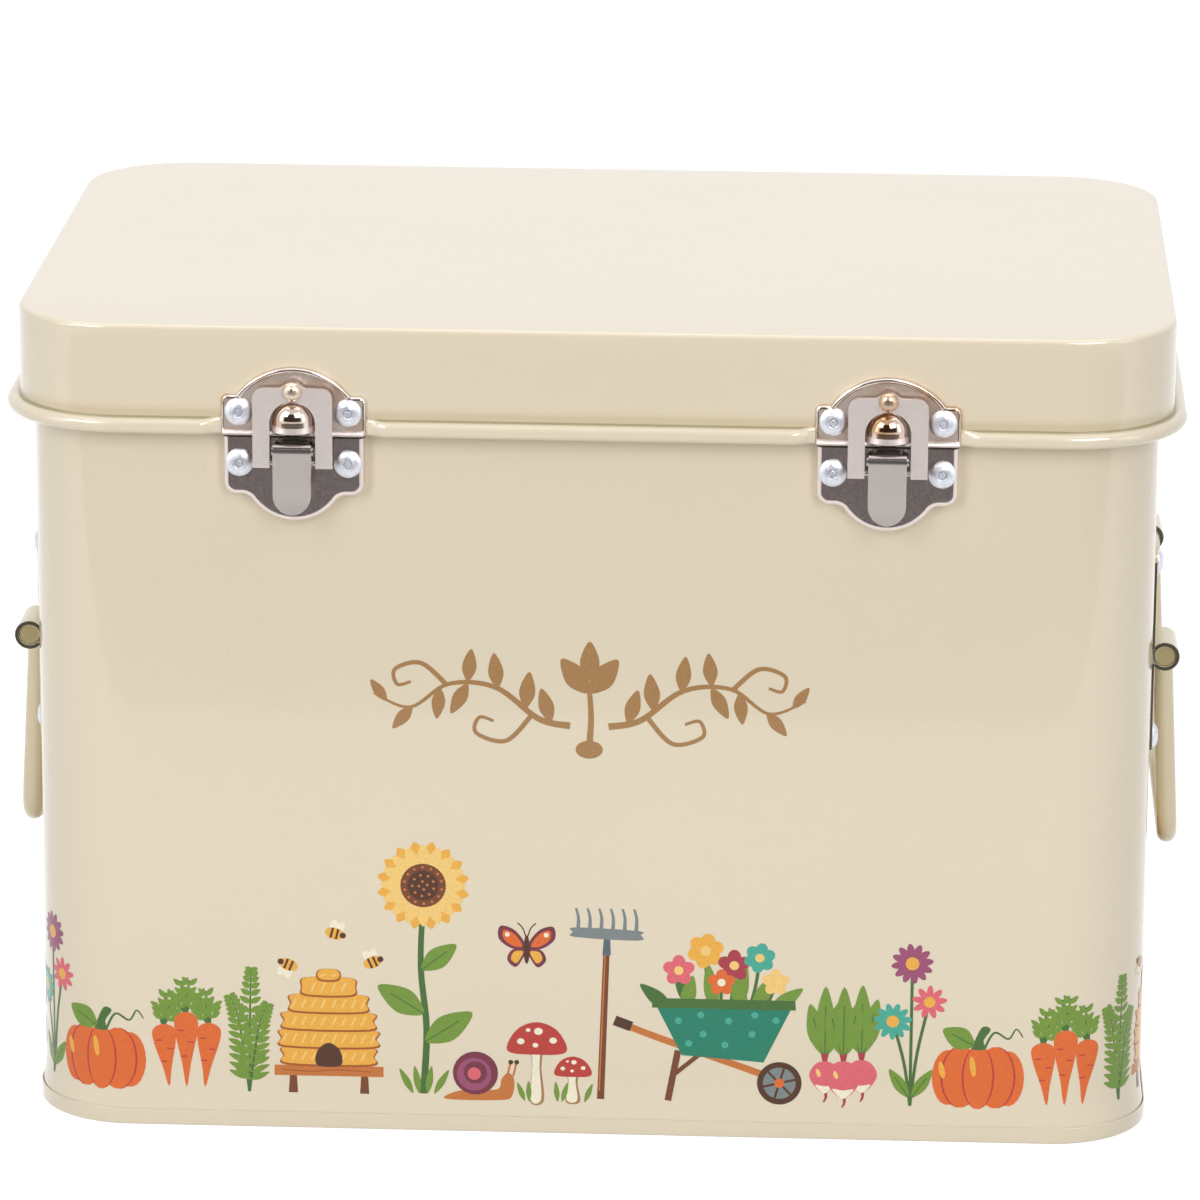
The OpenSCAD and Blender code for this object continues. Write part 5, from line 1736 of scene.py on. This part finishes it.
# %% Wrap the row round the box
FLARE_TOP = 14.0
FLARE_R = 56.01
FILM_LIFT = 0.04
STRAIGHT_W = TUB_W - 2 * TUB_CORNER
STRAIGHT_D = TUB_D - 2 * TUB_CORNER
QUARTER = math.pi * TUB_CORNER / 2
AROUND = 2 * STRAIGHT_W + 2 * STRAIGHT_D + 4 * QUARTER
FRONT_MIDDLE = STRAIGHT_W * 1.5 + STRAIGHT_D + 3 * QUARTER


def vectors(tree, operation, *values):
    """One Vector Math node that works on two vectors."""
    return in_order(tree, add(tree, "ShaderNodeVectorMath", {"operation": operation}), values)


def flare_out(tree, given, height):
    """How far the wall flares out at a height: an arc that starts upright at the flare's top."""
    radius = given["Flare radius"]
    below = calc(tree, "MAXIMUM", calc(tree, "SUBTRACT", given["Flare top"], height), 0.0)
    square = calc(tree, "MULTIPLY", radius, radius)
    inside = calc(tree, "SQRT", calc(tree, "SUBTRACT", square, calc(tree, "MULTIPLY", below, below)))
    return calc(tree, "SUBTRACT", radius, inside)


def make_wrap_tree():
    inputs = [("Flat film", OBJECT, None), ("Copies", WHOLE, 4)] + floats(Pitch=0.2) + PLAN
    inputs += floats(Start=0.0, Lift=0.00004, Flare_top=0.014, Flare_radius=0.05) + FINISH
    tree, given, result = new_group("wrap_print", "GeometryNodeTree", inputs, SHAPE)
    shift = add(tree, "ShaderNodeCombineXYZ", X=given["Pitch"]).outputs[0]
    row_of = {"Count": given["Copies"], "Offset": shift}
    places = add(tree, "GeometryNodeMeshLine", {"mode": "OFFSET"}, **row_of).outputs[0]
    film = shape_of(tree, given["Flat film"])
    copies = add(tree, "GeometryNodeInstanceOnPoints", Points=places, Instance=film).outputs[0]
    real = made_real(tree, copies)
    place = add(tree, "GeometryNodeInputPosition").outputs[0]
    flat = add(tree, "ShaderNodeSeparateXYZ", Vector=place).outputs
    plan = wall_line(tree, given)
    around = add(tree, "GeometryNodeCurveLength", Curve=plan).outputs[0]
    along = calc(tree, "FLOORED_MODULO", calc(tree, "ADD", flat["X"], given["Start"]), around)
    spot = add(tree, "GeometryNodeSampleCurve", {"mode": "LENGTH"}, Curves=plan, Length=along).outputs
    out = calc(tree, "ADD", flare_out(tree, given, flat["Z"]), given["Lift"])
    outwards = vectors(tree, "CROSS_PRODUCT", spot["Tangent"], (0, 0, 1))
    pushed = add(tree, "ShaderNodeVectorMath", {"operation": "SCALE"}, Vector=outwards, Scale=out).outputs[0]
    height = add(tree, "ShaderNodeCombineXYZ", Z=flat["Z"]).outputs[0]
    place = vectors(tree, "ADD", vectors(tree, "ADD", spot["Position"], pushed), height)
    wrapped = add(tree, "GeometryNodeSetPosition", Geometry=real, Position=place).outputs[0]
    return end_shape(tree, given, result, wrapped)


wrap_tree = make_wrap_tree()


def wrap(name, film_mesh, copies):
    film = new_object(name + "_film", film_mesh)
    in_metres = {
        "Pitch": AROUND / 4,
        "Width": TUB_W,
        "Depth": TUB_D,
        "Corner_radius": TUB_CORNER,
        "Start": FRONT_MIDDLE,
        "Lift": FILM_LIFT,
        "Flare_top": FLARE_TOP,
        "Flare_radius": FLARE_R,
    }
    in_metres = {label: size * MM for label, size in in_metres.items()}
    more = {"Flat_film": film, "Copies": copies, "Corner_steps": 72, "Finish": ink_finish}
    made = grown(name, wrap_tree, film, **in_metres, **more)
    move_back(made.data)
    made.data.shade_smooth()
    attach(made, body_of(NODES["tub_wall"])[0])
    print(name, "has", len(made.data.polygons), "faces")


wrap("printed_row", row_film, 4)

# %% [markdown]
# ### The ornament in front
# Above the row, the middle of the front carries a plain ornament in one tan ink: two leafy scrolls that run
# out from a sprouting seed.

# %% Draw and place the ornament
ORNAMENT_Z = 107.5
SCROLLS = (
    ([(4.5, -6.5), (12, -4.8), (22, 2.6), (33, 3.2), (42, -2.6), (50.5, 0.6)], 1.7, 0.5),
    ([(33.5, 3.1), (39.5, 8.2), (45.5, 6.6), (45, 2.9), (41.8, 3.6)], 1.2, 0.7),
    ([(13.5, -4.0), (19.5, -10.4), (26.5, -8.6), (25.8, -4.8), (22.4, -5.6)], 1.2, 0.7),
)
SCROLL_LEAVES = (
    (9, -5.6, 8.5, 3.6, 74),
    (15, -2.4, 9.0, 3.8, 96),
    (21.5, 2.4, 8.6, 3.6, 84),
    (28.5, 3.9, 8.0, 3.4, 96),
    (28.5, 3.4, 8.4, 3.4, -62),
    (35, 2.2, 7.6, 3.2, -84),
    (41.5, -2.4, 7.2, 3.0, -50),
    (47.5, -1.2, 6.4, 2.6, 54),
)


def draw_scroll(d, side):
    for points, width, end_width in SCROLLS:
        d.line("tan", [(side * x, z) for x, z in points], width, end_width, 8)
    for x, z, length, width, turn in SCROLL_LEAVES:
        d.leaf("tan", side * x, z, length, width, turn if side > 0 else 180 - turn)


def draw_sprout(d):
    d.line("tan", [(0, -11.5), (0.4, -4), (-0.2, 4)], 1.6, 1.1)
    for place in ((-0.2, 1.6, 10.5, 5.4, 128), (0.2, 1.6, 10.5, 5.4, 52), (0, 4.6, 9.6, 4.6, 90)):
        d.leaf("tan", *place)
    d.oval("tan", 0, -12.2, 3.2, 2.2)


ornament = Drawing()
ornament.at = (0, ORNAMENT_Z)
draw_sprout(ornament)
for side in SIDES.values():
    draw_scroll(ornament, side)
wrap("front_ornament", ink_film("ornament_film", ornament.shapes), 1)
